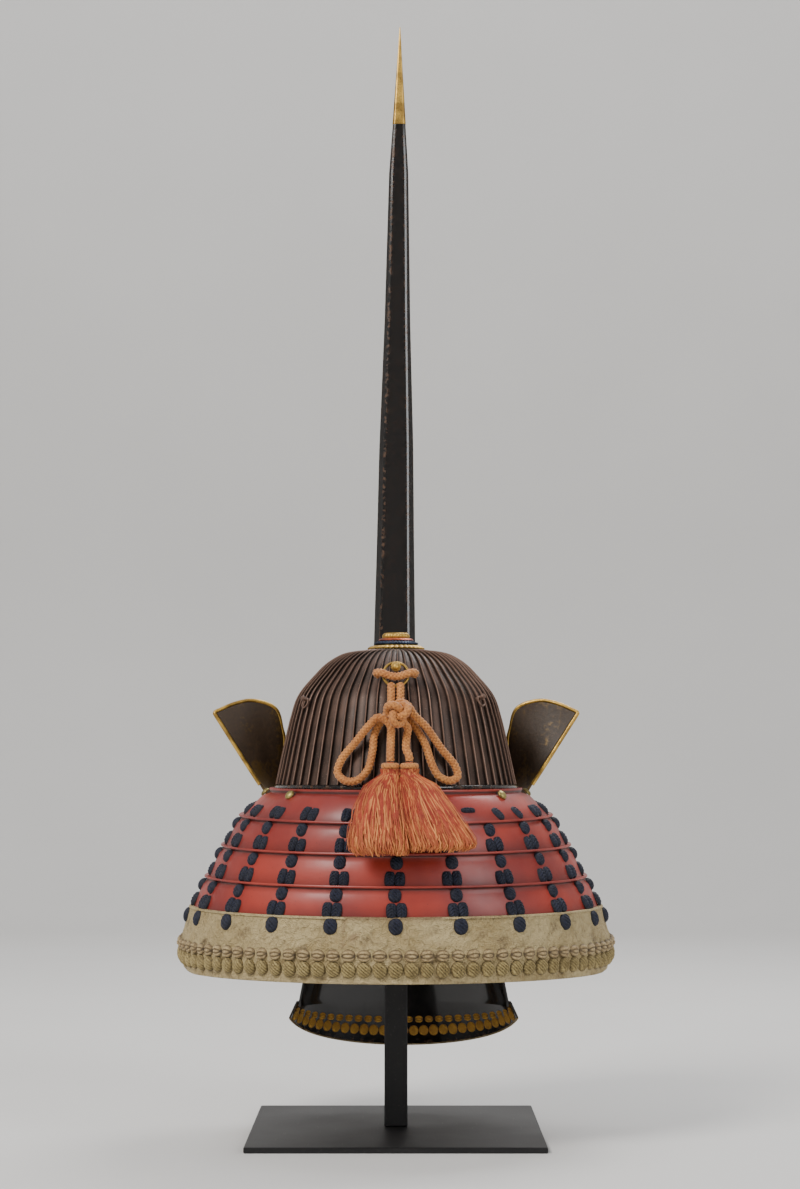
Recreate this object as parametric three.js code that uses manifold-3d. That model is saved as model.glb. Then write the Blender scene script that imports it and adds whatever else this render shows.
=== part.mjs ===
// A samurai helmet with a tall crest, on a plain post stand. Millimetres, +Z up.
// The wearer looks along +Y, the neck guard faces -Y, and the origin is the middle of the
// stand's underside. Angles round the helmet start at the back and grow towards +X.
import * as THREE from 'three';
import { mergeVertices } from 'three/addons/utils/BufferGeometryUtils.js';
import Module from 'manifold-3d';

// Driving dimensions
const GAP = 0.3;

const BASE_WIDTH = 256;
const BASE_DEPTH = 260;
const BASE_THICKNESS = 5;
const POST_SIDE = 20.6;
const ARM_SIDE = 12;
const REST_THICKNESS = 4;

const BOWL_FOOT_Z = 308;
const BOWL_HALF_WIDTH = 106.5;
const BOWL_HALF_DEPTH = 118;
const BOWL_HEIGHT = 121;
const BOWL_WALL = 2.2;
const RIB_COUNT = 62;
const RIB_HEIGHT = 2.2;
const BOWL_INNER_COLUMNS = 24;
const RIM_HEIGHT = 4;
const RIM_OVERHANG = 3.4;
const RIM_DEPTH = 9;

const FINIAL_BORE = 8;
const PETAL_RADIUS = 25.8;
const PETAL_HEIGHT = 4;
const BEAD_RADIUS = 19.6;
const BEAD_HEIGHT = 3.4;
const COLLAR_RADIUS = 15.8;
const COLLAR_HEIGHT = 2.6;
const CAP_RADIUS = 12.6;
const CAP_HEIGHT = 4.6;

const PEAK_REACH = 42;
const PEAK_DROP = 12;
const PEAK_WALL = 2;
const PEAK_HALF_ANGLE = 52;

const SOCKET_HEIGHT = 44;
const SOCKET_WALL = 2.5;
const SOCKET_LIFT = 3;
const CREST_FOOT_LIFT = 6;
const CREST_HEIGHT = 735;
const CREST_TIP_LENGTH = 98;
const CREST_WIDTH = 43;
const CREST_DEPTH = 17;
const CREST_LEAN_X = 6.3;
const CREST_LEAN_Y = 14;
const CREST_FOOT_X = -2.7;

const GUARD_HALF_WIDTH = 192.6;
const GUARD_HALF_DEPTH = 170;
const GUARD_DROP = 164;
const GUARD_HALF_ANGLE = 125;
const LAME_WALL = 2;
const LAME_LIP = 2.6;
const TOP_LAME_LIP = 1;
const RIM_PLAY = 0.9;
const LAME_OVERLAP = 6;
const PLATE_WALL = 3;
const PLATE_CORNER_LIFT = 45;
const GUARD_SEGMENTS = 24;
const LOWER_KNOT_SIZE = 12;
const UPPER_KNOT_SIZE = 7;
const KNOT_RELIEF = 3.6;
const KNOT_STANDOFF = 0.8;

const LACE_COUNT = 15;
const LACE_SPREAD = 119;
const LACE_WIDTH = 15;
const LACE_THICKNESS = 2.6;
const PIN_RADIUS = 4.6;
const PIN_HEIGHT = 3.2;
const BACK_PIN_ANGLE = 51;
const SIDE_PIN_ANGLE = 94;
const PIN_SHARE = 0.22;

const FLAP_WALL = 2.4;
const FLAP_RIM_RADIUS = 1.8;
const FLAP_RISE = 84;
const FLAP_REACH = 48;
const FLAP_FOOT_SHARE = 0.3;

const STUD_HEIGHT_SHARE = 0.8455;
const STUD_Z = BOWL_FOOT_Z + BOWL_HEIGHT * STUD_HEIGHT_SHARE;
const STUD_HEAD_RADIUS = 4.5;
const STUD_SHANK_RADIUS = 2.2;
const STUD_LENGTH = 17;
const RING_LEAN = 20;
const RING_RADIUS = 11;
const RING_WIRE = 2.4;
const CORD_DIAMETER = 7;

const THROAT_SHIFT_X = 7;
const THROAT_Y = 38;
const THROAT_HALF_WIDTH = 107;
const THROAT_HALF_DEPTH = 78;
const THROAT_TOP_Z = 228;
const THROAT_DROP = 164;
const THROAT_HALF_ANGLE = 80;
const THROAT_CORNER_LIFT = 31;
const THROAT_WALL = 2;
const THROAT_SEGMENTS = 12;

// Bowl profile: radius as a share of the bowl's half sizes, height as a share of its height
const BOWL_PROFILE = [
  { radius: 1, height: 0 },
  { radius: 0.925, height: 0.31 },
  { radius: 0.873, height: 0.504 },
  { radius: 0.811, height: 0.66 },
  { radius: 0.671, height: 0.81 },
  { radius: 0.563, height: 0.9 },
  { radius: 0.425, height: 0.965 },
  { radius: 0.244, height: 1 },
];

// Neck guard levels, top to bottom: width and depth between the rim and the full guard,
// drop and backward sag as shares of the guard's drop
const GUARD_LEVELS = [
  { width: 0, depth: 0, drop: 0.015, sag: 0.01 },
  { width: 0.323, depth: 0.38, drop: 0.155, sag: 0.034 },
  { width: 0.527, depth: 0.526, drop: 0.317, sag: 0.029 },
  { width: 0.706, depth: 0.711, drop: 0.486, sag: 0.025 },
  { width: 0.896, depth: 0.897, drop: 0.651, sag: 0.015 },
  { width: 1, depth: 1, drop: 0.854, sag: 0 },
  { width: 0.97, depth: 0.96, drop: 1, sag: 0 },
];

// Throat guard levels: half sizes and drop as shares of the full ones
const THROAT_LEVELS = [
  { width: 0.58, depth: 0.67, drop: 0 },
  { width: 0.67, depth: 0.74, drop: 0.195 },
  { width: 0.77, depth: 0.82, drop: 0.378 },
  { width: 0.86, depth: 0.9, drop: 0.549 },
  { width: 0.935, depth: 0.95, drop: 0.72 },
  { width: 1, depth: 1, drop: 1 },
];

// Crest sections: height as a share of the crest, width and depth as shares of the foot's
const CREST_SECTIONS = [
  { height: 0, width: 1, depth: 1 },
  { height: 0.15, width: 0.97, depth: 0.95 },
  { height: 0.3, width: 0.87, depth: 0.84 },
  { height: 0.43, width: 0.8, depth: 0.76 },
  { height: 0.6, width: 0.614, depth: 0.62 },
  { height: 0.8, width: 0.47, depth: 0.5 },
  { height: 1, width: 0.02, depth: 0.04 },
];

// Side flap columns from its inner edge to its outer one. The foot stands on the first lame
// at an angle; the head is out from the bowl and up, as shares of the flap's reach and rise,
// and forward of the axis as a share of the bowl's half depth
const FLAP_COLUMNS = [
  { footAngle: 122, out: -0.12, forward: 0.5254, rise: 0.62 },
  { footAngle: 118, out: 0.02, forward: 0.4831, rise: 0.9 },
  { footAngle: 113, out: 0.42, forward: 0.4407, rise: 1.0 },
  { footAngle: 108, out: 0.78, forward: 0.3898, rise: 0.975 },
  { footAngle: 104, out: 1.15, forward: 0.339, rise: 0.885 },
];

// Tassel levels as shares of the bowl's half width, half depth and height: height above its
// foot, left and right edges, distance behind the axis and half depth
const TASSEL_LEFT = [
  { height: 0.162, left: -0.0751, right: -0.0113, back: 1.0763, half: 0.0288 },
  { height: 0.1364, left: -0.1155, right: 0.0291, back: 1.0763, half: 0.0627 },
  { height: 0.095, left: -0.1155, right: 0.0291, back: 1.0763, half: 0.0627 },
  { height: 0.0702, left: -0.1202, right: 0.0282, back: 1.0847, half: 0.0559 },
  { height: 0.0083, left: -0.2254, right: 0.03, back: 1.1356, half: 0.0763 },
  { height: -0.0909, left: -0.2911, right: 0.0423, back: 1.2203, half: 0.0932 },
  { height: -0.2562, left: -0.338, right: 0.0704, back: 1.3729, half: 0.1017 },
  { height: -0.4132, left: -0.3568, right: 0.1033, back: 1.4407, half: 0.1102 },
  { height: -0.4711, left: -0.3192, right: 0.0939, back: 1.4492, half: 0.0932 },
];
const TASSEL_RIGHT = [
  { height: 0.162, left: 0.077, right: 0.1408, back: 1.0763, half: 0.0288 },
  { height: 0.1364, left: 0.0347, right: 0.1812, back: 1.0763, half: 0.0627 },
  { height: 0.095, left: 0.0347, right: 0.1812, back: 1.0763, half: 0.0627 },
  { height: 0.0702, left: 0.0376, right: 0.1878, back: 1.0847, half: 0.0559 },
  { height: 0.0083, left: 0.0385, right: 0.3099, back: 1.1356, half: 0.0763 },
  { height: -0.0909, left: 0.0507, right: 0.3944, back: 1.2203, half: 0.0932 },
  { height: -0.2562, left: 0.0789, right: 0.5258, back: 1.3729, half: 0.1017 },
  { height: -0.3967, left: 0.1117, right: 0.6197, back: 1.4407, half: 0.1102 },
  { height: -0.4463, left: 0.1174, right: 0.5634, back: 1.4492, half: 0.0932 },
];

// The braided cord: its hitch over the ring, then two halves from under the hitch, through the
// knot, round the loop and down to the tassel. Each point is sideways, back and up from the
// bowl's foot, as shares of the bowl's half width, half depth and height
const CORD_HITCH = [
  [-0.1455, 0.7424, 0.7901], [-0.1577, 0.7763, 0.8017], [-0.1183, 0.8119, 0.8017],
  [-0.0563, 0.8203, 0.7818], [0, 0.822, 0.7736], [0.0563, 0.8203, 0.7818],
  [0.1183, 0.8119, 0.8017], [0.1577, 0.7763, 0.8017], [0.1455, 0.7424, 0.7901],
];
const CORD_LEFT = [
  [-0.0376, 0.8475, 0.7174], [-0.0376, 0.8763, 0.6678], [-0.0376, 0.9034, 0.6116],
  [-0.0451, 0.9237, 0.5537], [-0.0751, 0.9407, 0.4992], [-0.1268, 0.9508, 0.438],
  [-0.169, 0.9576, 0.3636], [-0.1878, 0.9814, 0.2314], [-0.2254, 1.0119, 0.1074],
  [-0.3052, 1.0136, 0.0364], [-0.3991, 0.9797, 0.0298], [-0.4676, 0.9305, 0.086],
  [-0.4357, 0.9237, 0.1818], [-0.3249, 0.9458, 0.3017], [-0.2047, 1.0017, 0.4298],
  [-0.1446, 1.0203, 0.476], [-0.0845, 1.0271, 0.4595], [-0.0394, 1.0271, 0.4083],
  [-0.0385, 1.0085, 0.3421], [-0.0413, 1.0373, 0.2562], [-0.0432, 1.0712, 0.2033],
  [-0.0432, 1.0763, 0.1669],
];
const CORD_RIGHT = [
  [0.0376, 0.8475, 0.7174], [0.0376, 0.8763, 0.6678], [0.0376, 0.9034, 0.6116],
  [0.0451, 0.9237, 0.5537], [0.0751, 0.9407, 0.4992], [0.1268, 0.9508, 0.443],
  [0.1737, 0.9525, 0.3884], [0.2394, 0.9678, 0.281], [0.2911, 0.9881, 0.1446],
  [0.3474, 0.9949, 0.0612], [0.4366, 0.9678, 0.0314], [0.4958, 0.9322, 0.0612],
  [0.4789, 0.9203, 0.1322], [0.3681, 0.9407, 0.2562], [0.2441, 1.0017, 0.4091],
  [0.1465, 1.0169, 0.4959], [0.0977, 1.0136, 0.5587], [0.0376, 1.0153, 0.5835],
  [-0.0094, 1.0169, 0.5488], [0.0075, 1.0288, 0.4975], [0.0563, 1.0356, 0.4463],
  [0.0958, 1.0288, 0.4], [0.0883, 1.0169, 0.3438], [0.0826, 1.039, 0.2562],
  [0.107, 1.0712, 0.2033], [0.108, 1.0763, 0.1669],
];

const DEG = Math.PI / 180;
const group = new THREE.Group();
const wasm = await Module();
wasm.setup();

const lacquerRed = { color: 0xb83a28, roughness: 0.35, metalness: 0 };
const russetIron = { color: 0x4b352c, roughness: 0.6, metalness: 0.5 };
const blackLacquer = { color: 0x0b0908, roughness: 0.22, metalness: 0 };
const agedGilt = { color: 0xc79a3f, roughness: 0.38, metalness: 1 };
const creamLeather = { color: 0xcdbb94, roughness: 0.85, metalness: 0 };
const goldBraid = { color: 0xbda668, roughness: 0.8, metalness: 0 };
const navySilk = { color: 0x141c38, roughness: 0.8, metalness: 0 };
const orangeSilk = { color: 0xd98a52, roughness: 0.75, metalness: 0 };
const redSilk = { color: 0xc85a38, roughness: 0.8, metalness: 0 };
const brownLeather = { color: 0x3a2a1a, roughness: 0.6, metalness: 0.1 };
const blueEnamel = { color: 0x1c2230, roughness: 0.5, metalness: 0.2 };
const copper = { color: 0x9c4a34, roughness: 0.4, metalness: 1 };
const blackSteel = { color: 0x101010, roughness: 0.6, metalness: 0.3 };

function addPiece(name, geometry, look) {
  const mesh = new THREE.Mesh(geometry, new THREE.MeshStandardMaterial(look));
  mesh.name = name;
  group.add(mesh);
  return mesh;
}

function mix(from, to, share) {
  return from + (to - from) * share;
}

// A closed body from vertices and triangles, with its faces turned outwards
function closedBody(points, triangles) {
  let volume = 0;
  for (let t = 0; t < triangles.length; t += 3) {
    const [a, b, c] = [0, 1, 2].map((k) => new THREE.Vector3(...points[triangles[t + k]]));
    volume += a.dot(b.cross(c));
  }
  const index = volume < 0 ? [...triangles].reverse() : triangles;
  const geometry = new THREE.BufferGeometry();
  geometry.setAttribute('position', new THREE.Float32BufferAttribute(points.flat(), 3));
  geometry.setIndex(index);
  return geometry;
}

// A wall between two surfaces, each given as point(column share, row share)
function wall(columns, rows, outer, inner, closed = false) {
  const points = [];
  const triangles = [];
  const across = closed ? columns : columns + 1;
  for (const surface of [outer, inner]) {
    for (let r = 0; r <= rows; r += 1) {
      for (let c = 0; c < across; c += 1) points.push(surface(c / columns, r / rows));
    }
  }
  const at = (side, c, r) => side * across * (rows + 1) + r * across + (c % across);
  const quad = (a, b, c, d) => triangles.push(a, b, c, a, c, d);
  for (let c = 0; c < columns; c += 1) {
    for (let r = 0; r < rows; r += 1) {
      quad(at(0, c, r), at(0, c + 1, r), at(0, c + 1, r + 1), at(0, c, r + 1));
      quad(at(1, c, r), at(1, c, r + 1), at(1, c + 1, r + 1), at(1, c + 1, r));
    }
    quad(at(0, c, 0), at(1, c, 0), at(1, c + 1, 0), at(0, c + 1, 0));
    quad(at(0, c, rows), at(0, c + 1, rows), at(1, c + 1, rows), at(1, c, rows));
  }
  if (!closed) {
    for (let r = 0; r < rows; r += 1) {
      quad(at(0, 0, r), at(0, 0, r + 1), at(1, 0, r + 1), at(1, 0, r));
      quad(at(0, columns, r), at(1, columns, r), at(1, columns, r + 1), at(0, columns, r + 1));
    }
  }
  return closedBody(points, triangles);
}

// A solid whose closed sections are joined from first to last, both ends closed to a point
function loft(sections) {
  const sides = sections[0].length;
  const points = sections.flat();
  const triangles = [];
  for (let s = 0; s + 1 < sections.length; s += 1) {
    for (let k = 0; k < sides; k += 1) {
      const a = s * sides + k;
      const b = s * sides + ((k + 1) % sides);
      triangles.push(a, b, b + sides, a, b + sides, a + sides);
    }
  }
  const middle = (ring) => [0, 1, 2].map((k) => ring.reduce((sum, p) => sum + p[k], 0) / sides);
  const first = points.push(middle(sections[0])) - 1;
  const last = points.push(middle(sections.at(-1))) - 1;
  const lastRow = (sections.length - 1) * sides;
  for (let k = 0; k < sides; k += 1) {
    const next = (k + 1) % sides;
    triangles.push(first, next, k, last, lastRow + k, lastRow + next);
  }
  return closedBody(points, triangles);
}

function toSolid(geometry) {
  const bare = geometry.clone();
  bare.deleteAttribute('normal');
  bare.deleteAttribute('uv');
  const merged = mergeVertices(bare, 1e-4);
  return new wasm.Manifold(new wasm.Mesh({
    numProp: 3,
    vertProperties: new Float32Array(merged.attributes.position.array),
    triVerts: new Uint32Array(merged.index.array),
  }));
}

function fromSolid(solid) {
  const mesh = solid.getMesh();
  const geometry = new THREE.BufferGeometry();
  geometry.setAttribute('position', new THREE.BufferAttribute(mesh.vertProperties, 3));
  geometry.setIndex(new THREE.BufferAttribute(mesh.triVerts, 1));
  return geometry;
}

function tube(points, radius, sides, steps) {
  const path = new THREE.CatmullRomCurve3(points.map((p) => new THREE.Vector3(...p)), false, 'centripetal');
  const section = new THREE.Shape();
  for (let k = 0; k < sides; k += 1) {
    const angle = (k / sides) * 2 * Math.PI;
    const [x, y] = [radius * Math.cos(angle), radius * Math.sin(angle)];
    if (k === 0) section.moveTo(x, y);
    else section.lineTo(x, y);
  }
  section.closePath();
  return new THREE.ExtrudeGeometry(section, { steps, extrudePath: path, bevelEnabled: false });
}

// Bowl surface: the profile at a share of its height, moved out along its normal
function bowlProfile(height) {
  const rows = BOWL_PROFILE;
  let k = 1;
  while (k < rows.length - 1 && rows[k].height < height) k += 1;
  const share = (height - rows[k - 1].height) / (rows[k].height - rows[k - 1].height);
  const radius = mix(rows[k - 1].radius, rows[k].radius, Math.min(share, 1));
  return { radius, height };
}

function bowlRow(index, angle, out) {
  const rows = BOWL_PROFILE;
  const before = rows[Math.max(index - 1, 0)];
  const after = rows[Math.min(index + 1, rows.length - 1)];
  const run = (after.radius - before.radius) * BOWL_HALF_WIDTH;
  const rise = (after.height - before.height) * BOWL_HEIGHT;
  const length = Math.hypot(run, rise);
  const flat = index === 0 ? 1 : rise / length;
  const up = index === 0 ? 0 : -run / length;
  const { radius, height } = rows[index];
  return [
    Math.sin(angle) * (radius * BOWL_HALF_WIDTH + flat * out),
    -Math.cos(angle) * (radius * BOWL_HALF_DEPTH + flat * out),
    BOWL_FOOT_Z + height * BOWL_HEIGHT + up * out,
  ];
}

function bowlBackDepth(z) {
  return bowlProfile((z - BOWL_FOOT_Z) / BOWL_HEIGHT).radius * BOWL_HALF_DEPTH;
}

// The bowl: ribbed dome less a smooth hollow and the round hole under the finial
function bowl() {
  const columns = RIB_COUNT * 2;
  const innerColumns = BOWL_INNER_COLUMNS;
  const outerRows = BOWL_PROFILE.map((row, index) => {
    const fade = Math.min(1, Math.max(0, (row.radius - 0.26) / 0.2));
    return Array.from({ length: columns }, (_, c) => {
      const angle = ((c + 0.5) / columns) * 2 * Math.PI;
      return bowlRow(index, angle, c % 2 === 0 ? RIB_HEIGHT * fade : 0);
    });
  });
  const innerRows = BOWL_PROFILE.map((row, index) => (
    Array.from({ length: innerColumns }, (_, c) => bowlRow(index, (c / innerColumns) * 2 * Math.PI, -BOWL_WALL))
  ));
  const below = innerRows[0].map(([x, y]) => [x, y, BOWL_FOOT_Z - BOWL_WALL]);
  const hole = new THREE.CylinderGeometry(FINIAL_BORE, FINIAL_BORE, BOWL_HEIGHT, 20);
  hole.rotateX(Math.PI / 2);
  hole.translate(0, 0, BOWL_FOOT_Z + BOWL_HEIGHT);
  const dome = toSolid(loft(outerRows));
  const hollow = toSolid(loft([below, ...innerRows]));
  return fromSolid(dome.subtract(hollow).subtract(toSolid(hole)));
}

function bowlRim() {
  const top = BOWL_FOOT_Z - GAP;
  const ring = (out) => (share, row) => {
    const angle = share * 2 * Math.PI;
    return [
      Math.sin(angle) * (BOWL_HALF_WIDTH + out),
      -Math.cos(angle) * (BOWL_HALF_DEPTH + out),
      top - row * RIM_HEIGHT,
    ];
  };
  return wall(36, 1, ring(RIM_OVERHANG), ring(RIM_OVERHANG - RIM_DEPTH), true);
}

// A turned ring of the finial with a rounded shoulder
function finialRing(radius, height, bottom) {
  const profile = [
    new THREE.Vector2(FINIAL_BORE, bottom),
    new THREE.Vector2(radius * 0.96, bottom),
    new THREE.Vector2(radius, bottom + height * 0.45),
    new THREE.Vector2(radius * 0.9, bottom + height),
    new THREE.Vector2(FINIAL_BORE, bottom + height),
    new THREE.Vector2(FINIAL_BORE, bottom),
  ];
  const geometry = new THREE.LatheGeometry(profile, 20);
  geometry.rotateX(Math.PI / 2);
  return geometry;
}

function finial() {
  const rings = [
    { name: 'finial_petal_ring', radius: PETAL_RADIUS, height: PETAL_HEIGHT, look: agedGilt },
    { name: 'finial_bead_ring', radius: BEAD_RADIUS, height: BEAD_HEIGHT, look: blueEnamel },
    { name: 'finial_collar', radius: COLLAR_RADIUS, height: COLLAR_HEIGHT, look: copper },
    { name: 'finial_cap', radius: CAP_RADIUS, height: CAP_HEIGHT, look: agedGilt },
  ];
  let bottom = BOWL_FOOT_Z + BOWL_HEIGHT + GAP;
  for (const ring of rings) {
    addPiece(ring.name, finialRing(ring.radius, ring.height, bottom), ring.look);
    bottom += ring.height + GAP;
  }
}

// The peak springs from the rim's front and dips away from it
function peak() {
  const surface = (under) => (share, row) => {
    const angle = (180 + mix(-PEAK_HALF_ANGLE, PEAK_HALF_ANGLE, share)) * DEG;
    const taper = Math.cos(mix(-1, 1, share) * Math.PI * 0.46) ** 0.6;
    const out = RIM_OVERHANG + GAP + row * PEAK_REACH * taper;
    return [
      Math.sin(angle) * (BOWL_HALF_WIDTH + out),
      -Math.cos(angle) * (BOWL_HALF_DEPTH + out),
      BOWL_FOOT_Z - GAP - under - PEAK_DROP * row * row * taper,
    ];
  };
  return wall(14, 2, surface(0), surface(PEAK_WALL));
}

// The crest's foot stands clear of its socket's walls, which are set against the bowl's front
function socketClearance() {
  const share = SOCKET_HEIGHT / CREST_HEIGHT;
  return { across: GAP + CREST_LEAN_X * share, along: GAP + CREST_LEAN_Y * share };
}

function crestMiddleY() {
  const back = bowlBackDepth(BOWL_FOOT_Z + SOCKET_LIFT) + RIB_HEIGHT + GAP;
  return back + SOCKET_WALL + socketClearance().along + CREST_DEPTH / 2;
}

function crestSection({ height, width, depth }) {
  const foot = BOWL_FOOT_Z + SOCKET_LIFT + CREST_FOOT_LIFT;
  const [halfWidth, halfDepth] = [(CREST_WIDTH / 2) * width, (CREST_DEPTH / 2) * depth];
  const corners = [[-0.66, -1], [0.66, -1], [1, 0], [0.66, 1], [-0.66, 1], [-1, 0]];
  return corners.map(([across, along]) => [
    CREST_FOOT_X + CREST_LEAN_X * height + across * halfWidth,
    crestMiddleY() + CREST_LEAN_Y * height + along * halfDepth,
    foot + height * CREST_HEIGHT,
  ]);
}

function crestAt(height) {
  const rows = CREST_SECTIONS;
  let k = 1;
  while (k < rows.length - 1 && rows[k].height < height) k += 1;
  const share = (height - rows[k - 1].height) / (rows[k].height - rows[k - 1].height);
  return {
    height,
    width: mix(rows[k - 1].width, rows[k].width, share),
    depth: mix(rows[k - 1].depth, rows[k].depth, share),
  };
}

function crest() {
  const joint = 1 - CREST_TIP_LENGTH / CREST_HEIGHT;
  const seam = GAP / CREST_HEIGHT;
  const below = CREST_SECTIONS.filter((row) => row.height < joint - 2 * seam);
  const shaft = [...below, crestAt(joint - seam)].map(crestSection);
  const tip = [crestAt(joint), crestAt(mix(joint, 1, 0.5)), CREST_SECTIONS.at(-1)].map(crestSection);
  addPiece('crest_shaft', loft(shaft), blackLacquer);
  addPiece('crest_tip', loft(tip), agedGilt);
}

// The socket: an open-topped box on the bowl's front, closed below, that the crest stands in
function crestSocket() {
  const clearance = socketClearance();
  const clearWidth = CREST_WIDTH + 2 * clearance.across;
  const clearDepth = CREST_DEPTH + 2 * clearance.along;
  const foot = BOWL_FOOT_Z + SOCKET_LIFT;
  const middleY = crestMiddleY();
  const body = new THREE.BoxGeometry(
    clearWidth + 2 * SOCKET_WALL, clearDepth + 2 * SOCKET_WALL, SOCKET_HEIGHT);
  body.translate(CREST_FOOT_X, middleY, foot + SOCKET_HEIGHT / 2);
  const pocket = new THREE.BoxGeometry(clearWidth, clearDepth, SOCKET_HEIGHT);
  pocket.translate(CREST_FOOT_X, middleY, foot + CREST_FOOT_LIFT - GAP + SOCKET_HEIGHT / 2);
  return fromSolid(toSolid(body).subtract(toSolid(pocket)));
}

// Neck guard surface
function guardLevel(index) {
  const row = GUARD_LEVELS[index];
  const rim = RIM_OVERHANG + LAME_WALL + RIM_PLAY;
  return {
    halfWidth: mix(BOWL_HALF_WIDTH + rim, GUARD_HALF_WIDTH, row.width),
    halfDepth: mix(BOWL_HALF_DEPTH + rim, GUARD_HALF_DEPTH, row.depth),
    z: BOWL_FOOT_Z - row.drop * GUARD_DROP,
    sag: row.sag * GUARD_DROP,
  };
}

function between(upper, lower, share) {
  return Object.fromEntries(Object.keys(upper).map((key) => [key, mix(upper[key], lower[key], share)]));
}

function guardPoint(level, degrees, out = 0, down = 0) {
  const angle = degrees * DEG;
  return [
    Math.sin(angle) * (level.halfWidth + out),
    -Math.cos(angle) * (level.halfDepth + out),
    level.z - down - level.sag * Math.cos(angle),
  ];
}

// One lame: a lip at its head, its face, and a skirt that passes inside the next lame
function lame(point, upper, lower, size) {
  const inset = -size.nextWall - GAP;
  const rows = [
    { level: upper, out: size.lip, down: 0 },
    { level: upper, out: 0.2, down: size.lip * 1.3 },
    { level: lower, out: inset, down: 0 },
    { level: lower, out: inset, down: size.overlap },
  ];
  const surface = (inwards) => (share, row) => {
    const at = rows[Math.round(row * (rows.length - 1))];
    const thick = at === rows[0] ? inwards * (size.wall + size.lip) : inwards * size.wall;
    return point(at.level, mix(-size.angle, size.angle, share), at.out - thick, at.down);
  };
  return wall(size.segments, rows.length - 1, surface(0), surface(1));
}

function neckGuard() {
  for (let k = 0; k < 4; k += 1) {
    const size = {
      lip: k === 0 ? TOP_LAME_LIP : LAME_LIP,
      wall: LAME_WALL,
      overlap: LAME_OVERLAP,
      angle: GUARD_HALF_ANGLE,
      segments: GUARD_SEGMENTS,
      nextWall: k === 3 ? PLATE_WALL : LAME_WALL,
    };
    addPiece(`lame_${k + 1}`, lame(guardPoint, guardLevel(k), guardLevel(k + 1), size), lacquerRed);
  }
}

function platePoint(share, row, out) {
  const degrees = mix(-GUARD_HALF_ANGLE, GUARD_HALF_ANGLE, share);
  const levels = [guardLevel(4), guardLevel(5), guardLevel(6)];
  const level = row <= 0.5 ? between(levels[0], levels[1], row * 2) : between(levels[1], levels[2], row * 2 - 1);
  const lift = PLATE_CORNER_LIFT * Math.max(0, (Math.abs(degrees) - 65) / 60) ** 2 * row * row;
  return guardPoint(level, degrees, out, -lift);
}

function bottomPlate() {
  const surface = (out) => (share, row) => platePoint(share, row, out);
  return wall(GUARD_SEGMENTS, 2, surface(0), surface(-PLATE_WALL));
}

function knotRow(middle, height) {
  const span = (guardLevel(4).z - guardLevel(6).z);
  const surface = (out) => (share, row) => platePoint(share, middle + ((row - 0.5) * height) / span, out);
  return wall(GUARD_SEGMENTS, 1, surface(KNOT_STANDOFF + KNOT_RELIEF), surface(KNOT_STANDOFF));
}

// How far a lame's face has sunk from its level towards the inside, a share of the way down
function lameFace(share) {
  return -share * (LAME_WALL + GAP);
}

// One column of lacing, laid over the lames' faces and lips
function lace(degrees) {
  const stations = [{ level: between(guardLevel(0), guardLevel(1), 0.62), out: 0, down: 0 }];
  for (let k = 1; k <= 4; k += 1) {
    stations.push({ level: guardLevel(k), out: LAME_LIP + GAP, down: 0 });
    if (k < 4) stations.push({ level: between(guardLevel(k), guardLevel(k + 1), 0.4), out: 0.6, down: 0 });
  }
  stations.push({ level: between(guardLevel(4), guardLevel(5), 0.42), out: 0.4, down: 0 });
  const surface = (thick) => (share, row) => {
    const at = stations[Math.round(row * (stations.length - 1))];
    const half = Math.atan2(LACE_WIDTH / 2, (at.level.halfWidth + at.level.halfDepth) / 2) / DEG;
    return guardPoint(at.level, degrees + mix(-half, half, share), at.out + 2 * GAP + thick, at.down);
  };
  return wall(1, stations.length - 1, surface(LACE_THICKNESS), surface(0));
}

function lacing() {
  for (let k = 0; k < LACE_COUNT; k += 1) {
    const degrees = mix(-LACE_SPREAD, LACE_SPREAD, k / (LACE_COUNT - 1));
    addPiece(`lace_${String(k + 1).padStart(2, '0')}`, lace(degrees), navySilk);
  }
}

// A domed pin, its axis square to the first lame
function lamePin(degrees, share) {
  const upper = guardLevel(0);
  const lower = guardLevel(1);
  const profile = [
    new THREE.Vector2(0, 0),
    new THREE.Vector2(PIN_RADIUS, 0),
    new THREE.Vector2(PIN_RADIUS * 0.75, PIN_HEIGHT * 0.7),
    new THREE.Vector2(0, PIN_HEIGHT),
  ];
  const geometry = new THREE.LatheGeometry(profile, 9);
  const level = between(upper, lower, share);
  const out = lameFace(share);
  const [here, along] = [guardPoint(level, degrees, out), guardPoint(level, degrees + 1, out)];
  const down = guardPoint(between(upper, lower, share + 0.2), degrees, out);
  const start = new THREE.Vector3(...here);
  const across = new THREE.Vector3(...along).sub(start);
  const normal = across.cross(new THREE.Vector3(...down).sub(start)).normalize();
  if (normal.z < 0) normal.negate();
  geometry.applyQuaternion(new THREE.Quaternion().setFromUnitVectors(new THREE.Vector3(0, 1, 0), normal));
  geometry.translate(...start.addScaledVector(normal, GAP).toArray());
  return geometry;
}

// Side flaps, mirrored by side
function flapColumn(row, side) {
  const level = between(guardLevel(0), guardLevel(1), FLAP_FOOT_SHARE);
  const foot = guardPoint(level, row.footAngle * side, lameFace(FLAP_FOOT_SHARE) + 2 * GAP);
  const head = [
    side * (BOWL_HALF_WIDTH + RIM_OVERHANG + row.out * FLAP_REACH),
    row.forward * BOWL_HALF_DEPTH,
    foot[2] + row.rise * FLAP_RISE,
  ];
  return { foot: new THREE.Vector3(...foot), head: new THREE.Vector3(...head) };
}

function flapSurface(side) {
  const columns = FLAP_COLUMNS.map((row) => flapColumn(row, side));
  const feet = new THREE.CatmullRomCurve3(columns.map((column) => column.foot));
  const heads = new THREE.CatmullRomCurve3(columns.map((column) => column.head));
  return (share, row) => feet.getPoint(share).lerp(heads.getPoint(share), row);
}

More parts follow.
